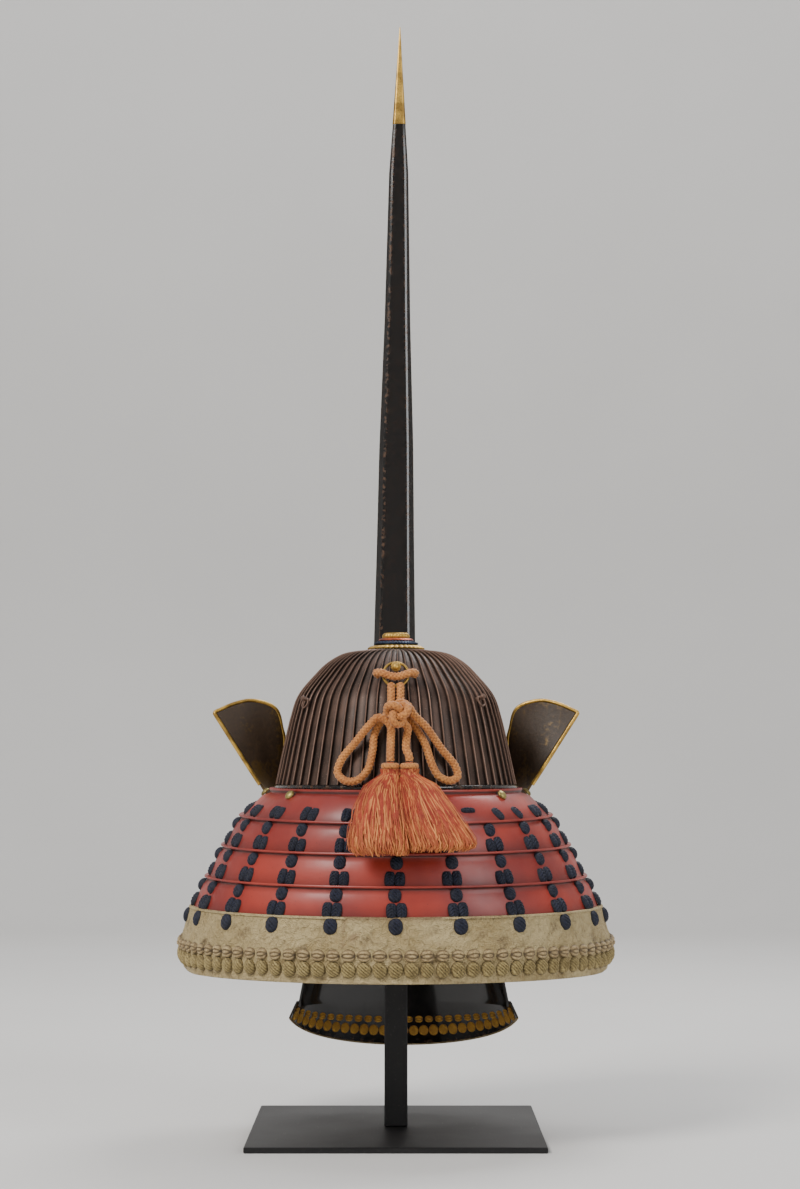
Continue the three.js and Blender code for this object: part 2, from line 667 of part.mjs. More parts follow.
function flapNormal(at, share, row) {
  const [s, r] = [Math.min(share, 0.98), Math.min(row, 0.98)];
  const here = at(s, r);
  const across = at(s + 0.02, r).sub(here);
  const up = at(s, r + 0.02).sub(here);
  const normal = across.cross(up).normalize();
  return normal.y < 0 ? normal.negate() : normal;
}

function sideFlap(side) {
  const at = flapSurface(side);
  const surface = (out) => (share, row) => (
    at(share, row).addScaledVector(flapNormal(at, share, row), out).toArray()
  );
  return wall(10, 5, surface(FLAP_WALL), surface(0));
}

// The gilt rim runs up the flap's inner edge, along its head and down its outer edge
function sideFlapRim(side) {
  const at = flapSurface(side);
  const away = FLAP_RIM_RADIUS + 2 * GAP;
  const edge = [
    { share: 0, row: 0.12 }, { share: 0, row: 0.4 }, { share: 0, row: 0.7 }, { share: 0, row: 0.94 },
    { share: 0, row: 1 }, { share: 0.06, row: 1 },
    { share: 0.25, row: 1 }, { share: 0.5, row: 1 }, { share: 0.75, row: 1 },
    { share: 0.94, row: 1 }, { share: 1, row: 1 }, { share: 1, row: 0.94 },
    { share: 1, row: 0.7 }, { share: 1, row: 0.4 }, { share: 1, row: 0.12 },
  ];
  const square = (direction, along) => (
    direction.addScaledVector(along, -direction.dot(along) / along.lengthSq()).normalize()
  );
  const points = edge.map(({ share, row }) => {
    const outward = new THREE.Vector3();
    const inner = Math.abs(share - 0.05);
    const edgeUp = at(share, Math.min(row + 0.05, 1)).sub(at(share, row - 0.05));
    const edgeAcross = at(Math.min(share + 0.05, 1), row).sub(at(Math.max(share - 0.05, 0), row));
    if (share === 0 || share === 1) outward.add(square(at(share, row).sub(at(inner, row)), edgeUp));
    if (row === 1) outward.add(square(at(share, 1).sub(at(share, 0.94)), edgeAcross));
    const normal = flapNormal(at, share, row);
    return at(share, row).addScaledVector(normal, FLAP_WALL / 2).addScaledVector(outward, away).toArray();
  });
  return tube(points, FLAP_RIM_RADIUS, 5, 28);
}

// The rosette stud: its shank stands out of the bowl's back and the ring hangs on it
function ringStud() {
  const foot = bowlBackDepth(STUD_Z - STUD_SHANK_RADIUS) + RIB_HEIGHT + GAP;
  const profile = [
    new THREE.Vector2(0, 0),
    new THREE.Vector2(STUD_SHANK_RADIUS, 0),
    new THREE.Vector2(STUD_SHANK_RADIUS, STUD_LENGTH * 0.72),
    new THREE.Vector2(STUD_HEAD_RADIUS, STUD_LENGTH * 0.78),
    new THREE.Vector2(STUD_HEAD_RADIUS * 0.7, STUD_LENGTH * 0.95),
    new THREE.Vector2(0, STUD_LENGTH),
  ];
  const geometry = new THREE.LatheGeometry(profile, 10);
  geometry.rotateX(Math.PI);
  geometry.translate(0, -foot, STUD_Z);
  return geometry;
}

function cordRing() {
  const geometry = new THREE.TorusGeometry(RING_RADIUS, RING_WIRE / 2, 6, 18);
  geometry.rotateX(Math.PI / 2);
  const lean = RING_LEAN * DEG;
  const topZ = STUD_Z + STUD_SHANK_RADIUS + RING_WIRE / 2 + GAP;
  const middleZ = topZ - RING_RADIUS * Math.cos(lean);
  const bottomZ = middleZ - RING_RADIUS * Math.cos(lean);
  const bottomY = -bowlBackDepth(bottomZ) - RIB_HEIGHT - RING_WIRE;
  geometry.rotateX(-lean);
  geometry.translate(0, bottomY + RING_RADIUS * Math.sin(lean), middleZ);
  return geometry;
}

// A point given as shares of the bowl's sizes: sideways, back and up from its foot
function besideBowl([side, back, up]) {
  return [side * BOWL_HALF_WIDTH, -back * BOWL_HALF_DEPTH, BOWL_FOOT_Z + up * BOWL_HEIGHT];
}

// A tassel: a bound head over hanging locks that stand side by side
function tassel(levels) {
  const locks = 10;
  const sections = levels.map((row, index) => (
    Array.from({ length: locks * 2 }, (_, k) => {
      const angle = (k / (locks * 2)) * 2 * Math.PI;
      const lock = index > 3 && k % 2 === 1 ? 0.88 : 1;
      const [middle, halfWidth] = [(row.left + row.right) / 2, (row.right - row.left) / 2];
      return besideBowl([
        middle + Math.cos(angle) * halfWidth * lock,
        row.back - Math.sin(angle) * row.half * lock,
        row.height,
      ]);
    })
  ));
  return loft(sections);
}

// Throat guard surface
function throatLevel(index) {
  const row = THROAT_LEVELS[index];
  return {
    halfWidth: THROAT_HALF_WIDTH * row.width,
    halfDepth: THROAT_HALF_DEPTH * row.depth,
    z: THROAT_TOP_Z - THROAT_DROP * row.drop,
  };
}

function throatPoint(level, degrees, out = 0, down = 0) {
  const angle = degrees * DEG;
  return [
    THROAT_SHIFT_X + Math.sin(angle) * (level.halfWidth + out),
    THROAT_Y + Math.cos(angle) * (level.halfDepth + out),
    level.z - down,
  ];
}

function throatGuard() {
  const names = ['chin_plate', 'throat_lame_1', 'throat_lame_2', 'throat_lame_3'];
  names.forEach((name, k) => {
    const size = {
      lip: 0.4,
      wall: THROAT_WALL,
      overlap: 5,
      angle: THROAT_HALF_ANGLE,
      segments: THROAT_SEGMENTS,
      nextWall: THROAT_WALL,
    };
    addPiece(name, lame(throatPoint, throatLevel(k), throatLevel(k + 1), size), blackLacquer);
  });
  const surface = (out) => (share, row) => {
    const degrees = mix(-THROAT_HALF_ANGLE, THROAT_HALF_ANGLE, share);
    const lift = THROAT_CORNER_LIFT * (degrees / THROAT_HALF_ANGLE) ** 2 * row;
    return throatPoint(between(throatLevel(4), throatLevel(5), row), degrees, out, -lift);
  };
  addPiece('throat_plate', wall(THROAT_SEGMENTS, 2, surface(0), surface(-THROAT_WALL)), blackLacquer);
}

// The stand: a flat plate, a square post with a head rest inside the bowl, and the chin's arm
function stand() {
  const restRow = BOWL_PROFILE.findIndex((row) => row.height > 0.8);
  const restTop = bowlRow(restRow, 0, -BOWL_WALL)[2];
  const base = new THREE.BoxGeometry(BASE_WIDTH, BASE_DEPTH, BASE_THICKNESS);
  base.translate(0, 0, BASE_THICKNESS / 2);
  addPiece('stand_base', base, blackSteel);

  const postBottom = BASE_THICKNESS + GAP;
  const postTop = restTop - REST_THICKNESS - GAP;
  const post = new THREE.BoxGeometry(POST_SIDE, POST_SIDE, postTop - postBottom);
  post.translate(0, 0, (postTop + postBottom) / 2);
  addPiece('stand_post', post, blackSteel);

  const rest = (row) => Array.from({ length: BOWL_INNER_COLUMNS }, (_, c) => {
    const [x, y] = bowlRow(restRow, (c / BOWL_INNER_COLUMNS) * 2 * Math.PI, -BOWL_WALL - 2 * GAP);
    return [x, y, restTop - REST_THICKNESS * (1 - row)];
  });
  addPiece('stand_head_rest', loft([rest(0), rest(1)]), blackSteel);

  const chinSpan = throatLevel(0).z - throatLevel(1).z;
  const chin = between(throatLevel(0), throatLevel(1), 0.5);
  const chinAtArmTop = between(throatLevel(0), throatLevel(1), 0.5 - ARM_SIDE / 2 / chinSpan);
  const armStart = POST_SIDE / 2 + GAP;
  const armEnd = THROAT_Y + chinAtArmTop.halfDepth - 2 * THROAT_WALL;
  const arm = new THREE.BoxGeometry(ARM_SIDE, armEnd - armStart, ARM_SIDE);
  arm.translate(POST_SIDE / 2 - ARM_SIDE / 2 + GAP, (armStart + armEnd) / 2, chin.z);
  addPiece('stand_arm', arm, blackSteel);
}

addPiece('bowl', bowl(), russetIron);
addPiece('bowl_rim', bowlRim(), blackLacquer);
finial();
addPiece('peak', peak(), russetIron);
addPiece('crest_socket', crestSocket(), agedGilt);
crest();
addPiece('ring_stud', ringStud(), agedGilt);
addPiece('cord_ring', cordRing(), agedGilt);
addPiece('bow_cord_hitch', tube(CORD_HITCH.map(besideBowl), CORD_DIAMETER / 2, 8, 12), orangeSilk);
addPiece('bow_cord_left', tube(CORD_LEFT.map(besideBowl), CORD_DIAMETER / 2, 8, 36), orangeSilk);
addPiece('bow_cord_right', tube(CORD_RIGHT.map(besideBowl), CORD_DIAMETER / 2, 8, 40), orangeSilk);
addPiece('tassel_left', tassel(TASSEL_LEFT), redSilk);
addPiece('tassel_right', tassel(TASSEL_RIGHT), redSilk);
neckGuard();
addPiece('bottom_plate', bottomPlate(), creamLeather);
addPiece('knot_row_upper', knotRow(0.52, UPPER_KNOT_SIZE), goldBraid);
addPiece('knot_row_lower', knotRow(0.76, LOWER_KNOT_SIZE), goldBraid);
lacing();
[-BACK_PIN_ANGLE, BACK_PIN_ANGLE, -SIDE_PIN_ANGLE, SIDE_PIN_ANGLE].forEach((degrees, k) => {
  addPiece(`lame_pin_${k + 1}`, lamePin(degrees, PIN_SHARE), agedGilt);
});
addPiece('side_flap_left', sideFlap(-1), brownLeather);
addPiece('side_flap_rim_left', sideFlapRim(-1), agedGilt);
addPiece('side_flap_right', sideFlap(1), brownLeather);
addPiece('side_flap_rim_right', sideFlapRim(1), agedGilt);
throatGuard();
stand();

export default group;
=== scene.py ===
# %% [markdown]
# A kabuto stands on a plain steel post with its back to us: a russet-iron bowl with
# standing ribs, a neck guard of red lacquered lames laced with navy silk, a cream leather
# last plate, a knotted cord with two tassels, turned-back side flaps and a very tall crest.
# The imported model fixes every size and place. This lesson gives each piece its true
# surface and finish.

# %% Load the frame and keep its box
import math
import random
import bpy
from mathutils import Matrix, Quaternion, Vector


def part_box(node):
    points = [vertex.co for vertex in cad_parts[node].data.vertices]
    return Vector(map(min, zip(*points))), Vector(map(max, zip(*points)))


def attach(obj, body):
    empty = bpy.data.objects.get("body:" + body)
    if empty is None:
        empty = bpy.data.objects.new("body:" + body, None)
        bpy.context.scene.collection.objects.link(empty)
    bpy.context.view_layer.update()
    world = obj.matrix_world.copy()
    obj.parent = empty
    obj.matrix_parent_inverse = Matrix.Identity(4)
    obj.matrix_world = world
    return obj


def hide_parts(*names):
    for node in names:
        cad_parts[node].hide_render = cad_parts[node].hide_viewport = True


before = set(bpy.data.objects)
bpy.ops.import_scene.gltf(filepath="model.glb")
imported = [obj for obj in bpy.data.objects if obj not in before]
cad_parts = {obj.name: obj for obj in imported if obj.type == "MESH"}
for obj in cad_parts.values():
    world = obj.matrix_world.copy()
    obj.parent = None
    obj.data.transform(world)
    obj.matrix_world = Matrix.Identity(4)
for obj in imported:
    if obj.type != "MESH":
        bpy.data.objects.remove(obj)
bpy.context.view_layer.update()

MM = 0.001
BODY = "root"


def placed(name, data):
    """A new object in the scene."""
    obj = bpy.data.objects.new(name, data)
    bpy.context.scene.collection.objects.link(obj)
    return obj


print("frame loaded:", len(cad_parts), "nodes")

# %% [markdown]
# The camera comes first, because the cords are judged by what it sees. The photograph looks
# slightly up from about two metres behind the helmet, level with the bowl's foot.

# %% Camera
CAMERA_BACK = 2.172
CAMERA_HEIGHT = 0.316
CAMERA_SIDE = 0.0036
CAMERA_PITCH = math.radians(4.32)
CAMERA_LENS = 72.67

camera_data = bpy.data.cameras.new("camera")
camera_data.lens = CAMERA_LENS
camera_data.sensor_width = 36.0
camera_data.clip_start = 0.05
camera = placed("camera", camera_data)
camera.location = (CAMERA_SIDE, -CAMERA_BACK, CAMERA_HEIGHT)
camera.rotation_euler = (math.pi / 2 + CAMERA_PITCH, 0, 0)
bpy.context.scene.camera = camera
print("camera lens:", CAMERA_LENS, "mm, height:", CAMERA_HEIGHT, "m")

# %% [markdown]
# Every piece is a mesh made from points in millimetres. These helpers join rows of points
# into closed walls and turned forms, and hand each finished piece to the frame: its finish,
# its body and the CAD nodes that it stands for.

# %% Mesh helpers
def mix(a, b, share):
    return a + (b - a) * share


def mix_points(p, q, share):
    return tuple(mix(a, b, share) for a, b in zip(p, q))


def around(count):
    """The angles of a full turn in even steps."""
    return [2 * math.pi * k / count for k in range(count)]


def fan(limit, steps):
    """Even steps from -limit to limit."""
    return [mix(-limit, limit, k / steps) for k in range(steps + 1)]


def spline(rows, share):
    """A smooth curve through rows of numbers, with share running from 0 to 1."""
    place = min(max(share, 0.0), 1.0) * (len(rows) - 1)
    k = min(int(place), len(rows) - 2)
    t = place - k
    a, b = rows[k], rows[k + 1]
    before = rows[k - 1] if k > 0 else tuple(2 * p - q for p, q in zip(a, b))
    after = rows[k + 2] if k + 2 < len(rows) else tuple(2 * q - p for p, q in zip(a, b))
    return tuple(0.5 * (2 * q + (r - p) * t + (2 * p - 5 * q + 4 * r - s) * t * t
                        + (3 * q - p - 3 * r + s) * t ** 3)
                 for p, q, r, s in zip(before, a, b, after))


def signed_volume(points, faces):
    total = 0.0
    for face in faces:
        a = points[face[0]]
        for k in range(1, len(face) - 1):
            b, c = points[face[k]], points[face[k + 1]]
            total += (a[0] * (b[1] * c[2] - b[2] * c[1]) + a[1] * (b[2] * c[0] - b[0] * c[2])
                      + a[2] * (b[0] * c[1] - b[1] * c[0]))
    return total


def outwards(points, faces):
    """The faces, all turned over if they look inwards."""
    if signed_volume(points, faces) < 0:
        return [tuple(reversed(face)) for face in faces]
    return faces


def make_object(name, points, faces, sharp=40, wear_and_shade=None):
    """A mesh object from points in millimetres, smooth but for edges above the sharp angle."""
    faces = outwards(points, faces)
    mesh = bpy.data.meshes.new(name)
    mesh.from_pydata([(x * MM, y * MM, z * MM) for x, y, z in points], [], faces)
    mesh.shade_smooth()
    mesh.set_sharp_from_angle(angle=math.radians(sharp))
    # The attribute holds wear and painted light: shade below 0, and some highlight above.
    if wear_and_shade is not None:
        layer = mesh.attributes.new("wear_and_shade", 'FLOAT', 'POINT')
        layer.data.foreach_set("value", wear_and_shade)
    return placed(name, mesh)


def ring_faces(rings, sides, loop=False):
    """Quads between neighbouring rings of points."""
    faces = []
    for r in range(rings if loop else rings - 1):
        here, above = r * sides, (r + 1) % rings * sides
        for k in range(sides):
            right = (k + 1) % sides
            faces.append((here + k, here + right, above + right, above + k))
    return faces


def closed_form(sections, loop=False):
    """Points and faces through closed sections; open ends are capped unless it loops."""
    sides = len(sections[0])
    faces = ring_faces(len(sections), sides, loop)
    if not loop:
        last = (len(sections) - 1) * sides
        faces += [tuple(reversed(range(sides))), tuple(range(last, last + sides))]
    return [p for section in sections for p in section], faces


def swept(name, sections, loop=False, sharp=40, wear_and_shade=None):
    return make_object(name, *closed_form(sections, loop), sharp, wear_and_shade)


def settle(piece, material, slot, *nodes):
    """Give a piece its finish, let it ride on the body and stand for its CAD nodes."""
    piece.data.materials.clear()
    piece.data.materials.append(material)
    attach(piece, BODY)
    if nodes:
        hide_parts(*nodes)
    return piece


# %% [markdown]
# Shader maths reads best as plain expressions. The class below wraps a socket, so that
# `1 - mask * 0.5` adds the Math nodes itself. Colours are mixed by Mix nodes.

# %% Shader helper
class Val:
    """A socket of a node tree that takes part in Python expressions."""

    def __init__(self, tree, socket):
        self.tree, self.socket = tree, socket

    def math(self, operation, other):
        node = self.tree.nodes.new("ShaderNodeMath")
        node.operation = operation
        for socket, value in zip(node.inputs, (self, other)):
            plug(self.tree, socket, value)
        return Val(self.tree, node.outputs[0])

    def __add__(self, other):
        return self.math('ADD', other)

    def __mul__(self, other):
        return self.math('MULTIPLY', other)

    def __sub__(self, other):
        return self.math('SUBTRACT', other)

    def __rsub__(self, other):
        return (self * -1.0).math('ADD', other)

    __radd__ = __add__
    __rmul__ = __mul__

    def clamp(self):
        node = self.tree.nodes.new("ShaderNodeClamp")
        self.tree.links.new(self.socket, node.inputs[0])
        return Val(self.tree, node.outputs[0])

    def step(self, low, high):
        """0 below low, 1 above high, smooth between."""
        node = self.tree.nodes.new("ShaderNodeMapRange")
        node.interpolation_type = 'SMOOTHSTEP'
        self.tree.links.new(self.socket, node.inputs["Value"])
        node.inputs["From Min"].default_value = low
        node.inputs["From Max"].default_value = high
        return Val(self.tree, node.outputs["Result"])


def plug(tree, socket, value):
    """Link a Val to a socket, or set a plain value on it."""
    if isinstance(value, Val):
        tree.links.new(value.socket, socket)
    else:
        socket.default_value = value


class Finish:
    """One material: a Principled shader and the textures that vary over its surface."""

    def __init__(self, name, **uniform):
        self.material = bpy.data.materials.new(name)
        self.material.use_nodes = True
        self.tree = self.material.node_tree
        self.shader = self.tree.nodes["Principled BSDF"]
        for key, value in uniform.items():
            self.shader.inputs[key.replace("_", " ")].default_value = value
        coordinates = self.tree.nodes.new("ShaderNodeTexCoord")
        self.place = Val(self.tree, coordinates.outputs["Object"])

    def node(self, kind, **inputs):
        made = self.tree.nodes.new(kind)
        for key, value in inputs.items():
            plug(self.tree, made.inputs[key.replace("_", " ")], value)
        return made

    def noise(self, scale, detail=4.0, stretch=None, distortion=0.0):
        place = self.place
        if stretch:
            mapping = self.node("ShaderNodeMapping", Vector=place, Scale=stretch)
            place = Val(self.tree, mapping.outputs[0])
        made = self.node("ShaderNodeTexNoise", Vector=place, Scale=scale, Detail=detail,
                         Distortion=distortion)
        return Val(self.tree, made.outputs[0])

    def cells(self, scale):
        made = self.node("ShaderNodeTexVoronoi", Vector=self.place, Scale=scale)
        return Val(self.tree, made.outputs["Distance"])

    def rubbed_and_shaded(self, sign=1.0):
        """Wear and painted light above 0; with sign -1, painted shade below 0."""
        made = self.node("ShaderNodeAttribute")
        made.attribute_name = "wear_and_shade"
        return (Val(self.tree, made.outputs["Fac"]) * sign).clamp()

    def blend(self, low, high, share):
        """A colour between two, each a colour or an earlier blend."""
        made = self.tree.nodes.new("ShaderNodeMix")
        made.data_type = 'RGBA'
        for index, value in ((6, low), (7, high), (0, share)):
            colour = (*value, 1.0) if isinstance(value, tuple) else value
            plug(self.tree, made.inputs[index], colour)
        return Val(self.tree, made.outputs[2])

    def feed(self, key, value):
        self.tree.links.new(value.socket, self.shader.inputs[key])
        return self

    def bump(self, height, depth=0.0005, strength=0.6):
        made = self.node("ShaderNodeBump", Height=height, Distance=depth, Strength=strength)
        self.tree.links.new(made.outputs[0], self.shader.inputs["Normal"])
        return self


# %% [markdown]
# The bowl is russet iron: rust stopped with lacquer, so it is dark, dry and a little metallic.
# Rib edges are rubbed lighter with a painted highlight, and painted shade lies in the hollows
# beside them. Pale dust lies in fine specks. The lacquers are glossy coats over a colour, with
# dark specks and painted shade under the lips in the red, and brown wear on the black.

# %% Metal and lacquer finishes
def russet_iron():
    f = Finish("russet iron", Metallic=0.45, Specular_IOR_Level=0.4)
    patches, grain, dust = f.noise(38, 5), f.noise(420, 3), f.noise(900, 2)
    base = f.blend((0.03, 0.018, 0.013), (0.075, 0.042, 0.03), patches.step(0.35, 0.7))
    # Lighter where rubbed; on the ribs this is also a painted highlight.
    worn = f.blend(base, (0.24, 0.14, 0.1), (f.rubbed_and_shaded() * (0.45 + grain)).clamp())
    dusty = f.blend(worn, (0.36, 0.27, 0.22), dust.step(0.64, 0.76) * 0.4)
    # Near black where the attribute is below 0: painted shade in the hollows beside the ribs.
    f.feed("Base Color", f.blend(dusty, (0.006, 0.004, 0.003), f.rubbed_and_shaded(-1.0)))
    f.feed("Roughness", 0.38 + patches * 0.25)
    return f.bump(grain + patches * 0.6, 0.0003, 0.45).material


def black_lacquer():
    f = Finish("black lacquer", Specular_IOR_Level=0.25, Coat_Weight=0.6, Coat_Roughness=0.06)
    broad, grain = f.noise(22, 3), f.noise(260, 4)
    scratches = f.noise(40, 3, stretch=(9.0, 9.0, 0.35)).step(0.72, 0.78)
    worn = (f.rubbed_and_shaded() * grain.step(0.46, 0.66)).clamp()
    base = f.blend((0.0025, 0.0022, 0.0022), (0.006, 0.0045, 0.004), broad)
    edges = f.blend(base, (0.1, 0.045, 0.018), worn * 0.6)
    f.feed("Base Color", f.blend(edges, (0.2, 0.12, 0.06), scratches * 0.12))
    f.feed("Roughness", 0.14 + grain * 0.1 + worn * 0.3)
    return f.bump(broad, 0.0006, 0.2).material


def gilt(name, bright, dull, grime):
    f = Finish(name, Metallic=0.9)
    patches, grain = f.noise(90, 5), f.noise(700, 2)
    metal = f.blend(dull, bright, patches.step(0.35, 0.65))
    f.feed("Base Color", f.blend(metal, grime, (1.0 - f.rubbed_and_shaded()) * grain.step(0.4, 0.75) * 0.6))
    f.feed("Roughness", 0.3 + grain * 0.3)
    return f.bump(grain + patches, 0.0003, 0.4).material


def red_lacquer():
    f = Finish("red lacquer", Coat_Weight=0.22, Coat_Roughness=0.25)
    broad, grain, specks = f.noise(16, 3), f.noise(140, 3), f.cells(330)
    base = f.blend((0.19, 0.0095, 0.0055), (0.33, 0.026, 0.012), broad.step(0.3, 0.7))
    worn = f.blend(base, (0.33, 0.045, 0.024), (f.rubbed_and_shaded() * (0.2 + grain)).clamp())
    marks = (1.0 - specks.step(0.0, 0.22)) * grain.step(0.5, 0.62)
    marked = f.blend(worn, (0.055, 0.012, 0.008), marks * 0.75)
    # Near black where the attribute is below 0: painted shade under each lame's lip and at its
    # foot.
    f.feed("Base Color", f.blend(marked, (0.03, 0.004, 0.003), f.rubbed_and_shaded(-1.0)))
    f.feed("Roughness", 0.42 + grain * 0.2)
    return f.bump(broad * 0.7 + grain * 0.3, 0.0012, 0.3).material


def black_steel():
    f = Finish("black steel", Metallic=0.35)
    broad, grain = f.noise(14, 4), f.noise(500, 2)
    scratches = f.noise(26, 4, stretch=(30.0, 1.2, 30.0)).step(0.66, 0.7)
    base = f.blend((0.007, 0.007, 0.008), (0.016, 0.015, 0.015), broad)
    f.feed("Base Color", f.blend(base, (0.12, 0.11, 0.1), scratches * 0.35))
    f.feed("Roughness", 0.42 + broad * 0.16)
    return f.bump(grain, 0.0002, 0.25).material


RUSSET_IRON = russet_iron()
BLACK_LACQUER = black_lacquer()
AGED_GILT = gilt("aged gilt", (0.62, 0.39, 0.09), (0.30, 0.18, 0.045), (0.05, 0.03, 0.012))
GREEN_GILT = gilt("green gilt", (0.46, 0.37, 0.13), (0.24, 0.19, 0.07), (0.03, 0.024, 0.01))
BLUE_BEAD = gilt("blue bead", (0.03, 0.045, 0.08), (0.01, 0.014, 0.03), (0.004, 0.004, 0.006))
COPPER = gilt("red copper", (0.46, 0.11, 0.055), (0.24, 0.05, 0.03), (0.03, 0.01, 0.006))
RED_LACQUER = red_lacquer()
BLACK_STEEL = black_steel()
print("metal and lacquer finishes:", len(bpy.data.materials))

# %% [markdown]
# Silk is soft and rough, with colour that varies from thread to thread. The last plate is
# dry leather with a brown stain where it has torn. The flaps keep patches of old gilding.

# %% Silk and leather finishes
def silk(name, deep, light, faded_and_gap_shade, thread_scale=700, sheen=0.35):
    f = Finish(name, Sheen_Weight=sheen, Sheen_Roughness=0.4, Roughness=0.72)
    broad, threads = f.noise(60, 3), f.noise(thread_scale, 3)
    base = f.blend(deep, light, (threads * 0.7 + broad * 0.5).step(0.35, 0.8))
    # Towards the third colour: faded strands in the red, painted shade in gaps elsewhere.
    f.feed("Base Color", f.blend(base, faded_and_gap_shade, (f.rubbed_and_shaded() * (0.4 + broad)).clamp()))
    return f.bump(threads, 0.0003, 0.5).material


def cream_leather():
    f = Finish("cream leather", Roughness=0.62, Specular_IOR_Level=0.35)
    broad, wrinkles, grain = f.noise(24, 5), f.noise(210, 6, distortion=0.8), f.noise(900, 3)
    tone = (broad * 0.6 + wrinkles * 0.5).step(0.35, 0.72)
    base = f.blend((0.36, 0.265, 0.12), (0.56, 0.445, 0.235), tone)
    dark = f.blend(base, (0.2, 0.125, 0.055), wrinkles.step(0.55, 0.75) * 0.6)
    torn = (f.rubbed_and_shaded() * (0.5 + broad)).clamp()
    stained = f.blend(dark, (0.2, 0.115, 0.06), torn * 0.8)
    # Dark brown where the attribute is below 0: painted shade under the roll and in the wrinkles.
    f.feed("Base Color", f.blend(stained, (0.11, 0.07, 0.035), f.rubbed_and_shaded(-1.0) * 0.8))
    return f.bump(wrinkles + grain * 0.35, 0.006, 1.0).material


def brown_leather():
    f = Finish("brown leather", Specular_IOR_Level=0.45)
    broad, grain = f.noise(34, 5), f.noise(300, 4)
    base = f.blend((0.018, 0.011, 0.006), (0.055, 0.03, 0.013), grain)
    gold = (broad * 0.75 + grain * 0.35 + f.rubbed_and_shaded() * 0.3).step(0.58, 0.74)
    f.feed("Base Color", f.blend(base, (0.17, 0.105, 0.03), gold * 0.6))
    f.feed("Metallic", gold * 0.5)
    f.feed("Roughness", 0.55 - gold * 0.15)
    return f.bump(grain, 0.0004, 0.5).material


# Each silk: its deep and light colour, a third colour, the scale of its threads and its sheen.
# The third is faded threads in the red silk, and painted shade in gaps in the others.
ORANGE_SILK = silk("orange silk", (0.33, 0.1, 0.018), (0.6, 0.25, 0.06), (0.15, 0.04, 0.01))
RED_SILK = silk("red silk", (0.17, 0.01, 0.005), (0.4, 0.045, 0.012), (0.64, 0.24, 0.062),
                1400, 0.1)
NAVY_SILK = silk("navy silk", (0.0014, 0.0022, 0.009), (0.005, 0.0085, 0.032),
                 (0.0006, 0.001, 0.003), 900, 0.04)
GOLD_BRAID = silk("gold braid", (0.17, 0.12, 0.038), (0.39, 0.3, 0.12), (0.06, 0.038, 0.012),
                  600, 0.1)
DARK_BRAID = silk("brown braid", (0.19, 0.12, 0.05), (0.45, 0.34, 0.17), (0.05, 0.03, 0.012),
                  600, 0.1)
# A brighter copy of the gold braid: its orange is real, part of its brightness is painted light.
INSIDE_BRAID_LIT = silk("inside braid lit", (0.36, 0.17, 0.02), (0.72, 0.4, 0.06), (0.1, 0.045, 0.008),
                    600, 0.1)
CREAM_LEATHER = cream_leather()
BROWN_LEATHER = brown_leather()
print("all finishes:", len(bpy.data.materials))

# %% [markdown]
# The cord is a round silk braid, hitched over the ring, then two halves that cross in a knot,
# fall in loops and end in tassels. A real braid's strands pass over and under each other,
# so the tube's skin is raised in a diamond weave that turns as it runs along the path.

# %% Braided cords
CORD_RADIUS = 3.5
BRAID_STRANDS = 8
BRAID_STEP = 3.3
BRAID_RELIEF = 0.85
CORD_SIDES = 48
CORD_STEP = 0.55
BOWL_SIZES = (106.5, 118.0, 121.0)
BOWL_FOOT = 308.0


def centripetal(points, per_span=20):
    """The same curve as the CAD's: centripetal Catmull-Rom through the points."""
    points = [Vector(p) for p in points]
    points = [points[0] * 2 - points[1]] + points + [points[-1] * 2 - points[-2]]
    line = []
    for k in range(1, len(points) - 2):
        p0, p1, p2, p3 = points[k - 1:k + 3]
        d0, d1, d2 = (max((b - a).length ** 0.5, 1e-6) for a, b in ((p0, p1), (p1, p2), (p2, p3)))
        t1 = ((p1 - p0) / d0 - (p2 - p0) / (d0 + d1) + (p2 - p1) / d1) * d1
        t2 = ((p2 - p1) / d1 - (p3 - p1) / (d1 + d2) + (p3 - p2) / d2) * d1
        for j in range(per_span):
            t = j / per_span
            line.append(p1 + t1 * t + (p2 * 3 - p1 * 3 - t1 * 2 - t2) * t * t
                        + (p1 * 2 - p2 * 2 + t1 + t2) * t ** 3)
    return line + [points[-2]]


def run_lengths(line):
    """The length along a line up to each of its points."""
    lengths = [0.0]
    for a, b in zip(line, line[1:]):
        lengths.append(lengths[-1] + (b - a).length)
    return lengths


def even_steps(line, step):
    lengths = run_lengths(line)
    count = max(2, round(lengths[-1] / step))
    out, k = [], 0
    for j in range(count + 1):
        want = lengths[-1] * j / count
        while k < len(lengths) - 2 and lengths[k + 1] < want:
            k += 1
        out.append(line[k].lerp(line[k + 1], (want - lengths[k]) / (lengths[k + 1] - lengths[k])))
    return out, lengths[-1]


def tube_frames(line):
    """Two directions across the line at each point, carried along without twisting."""
    side = (line[1] - line[0]).orthogonal().normalized()
    frames = []
    for k, point in enumerate(line):
        along = (line[min(k + 1, len(line) - 1)] - line[max(k - 1, 0)]).normalized()
        side = (side - along * side.dot(along)).normalized()
        frames.append((point, side, along.cross(side)))
    return frames


def weave(turn, along):
    """Height of a round braid's skin, 0 in the gaps and 1 on a strand's crown."""
    p, q = turn * BRAID_STRANDS / 2 + along, turn * BRAID_STRANDS / 2 - along
    over = (math.floor(p) + math.floor(q)) % 2 == 0
    across, run = (q, p) if over else (p, q)
    crown = math.sin(math.pi * (across % 1.0)) ** 0.6
    return crown * (0.55 + 0.45 * math.sin(math.pi * (run % 1.0)))


def gap_shade(crown):
    """Painted shade that darkens the gaps between a braid's strands."""
    return max(0.0, 0.95 - crown * 1.6)


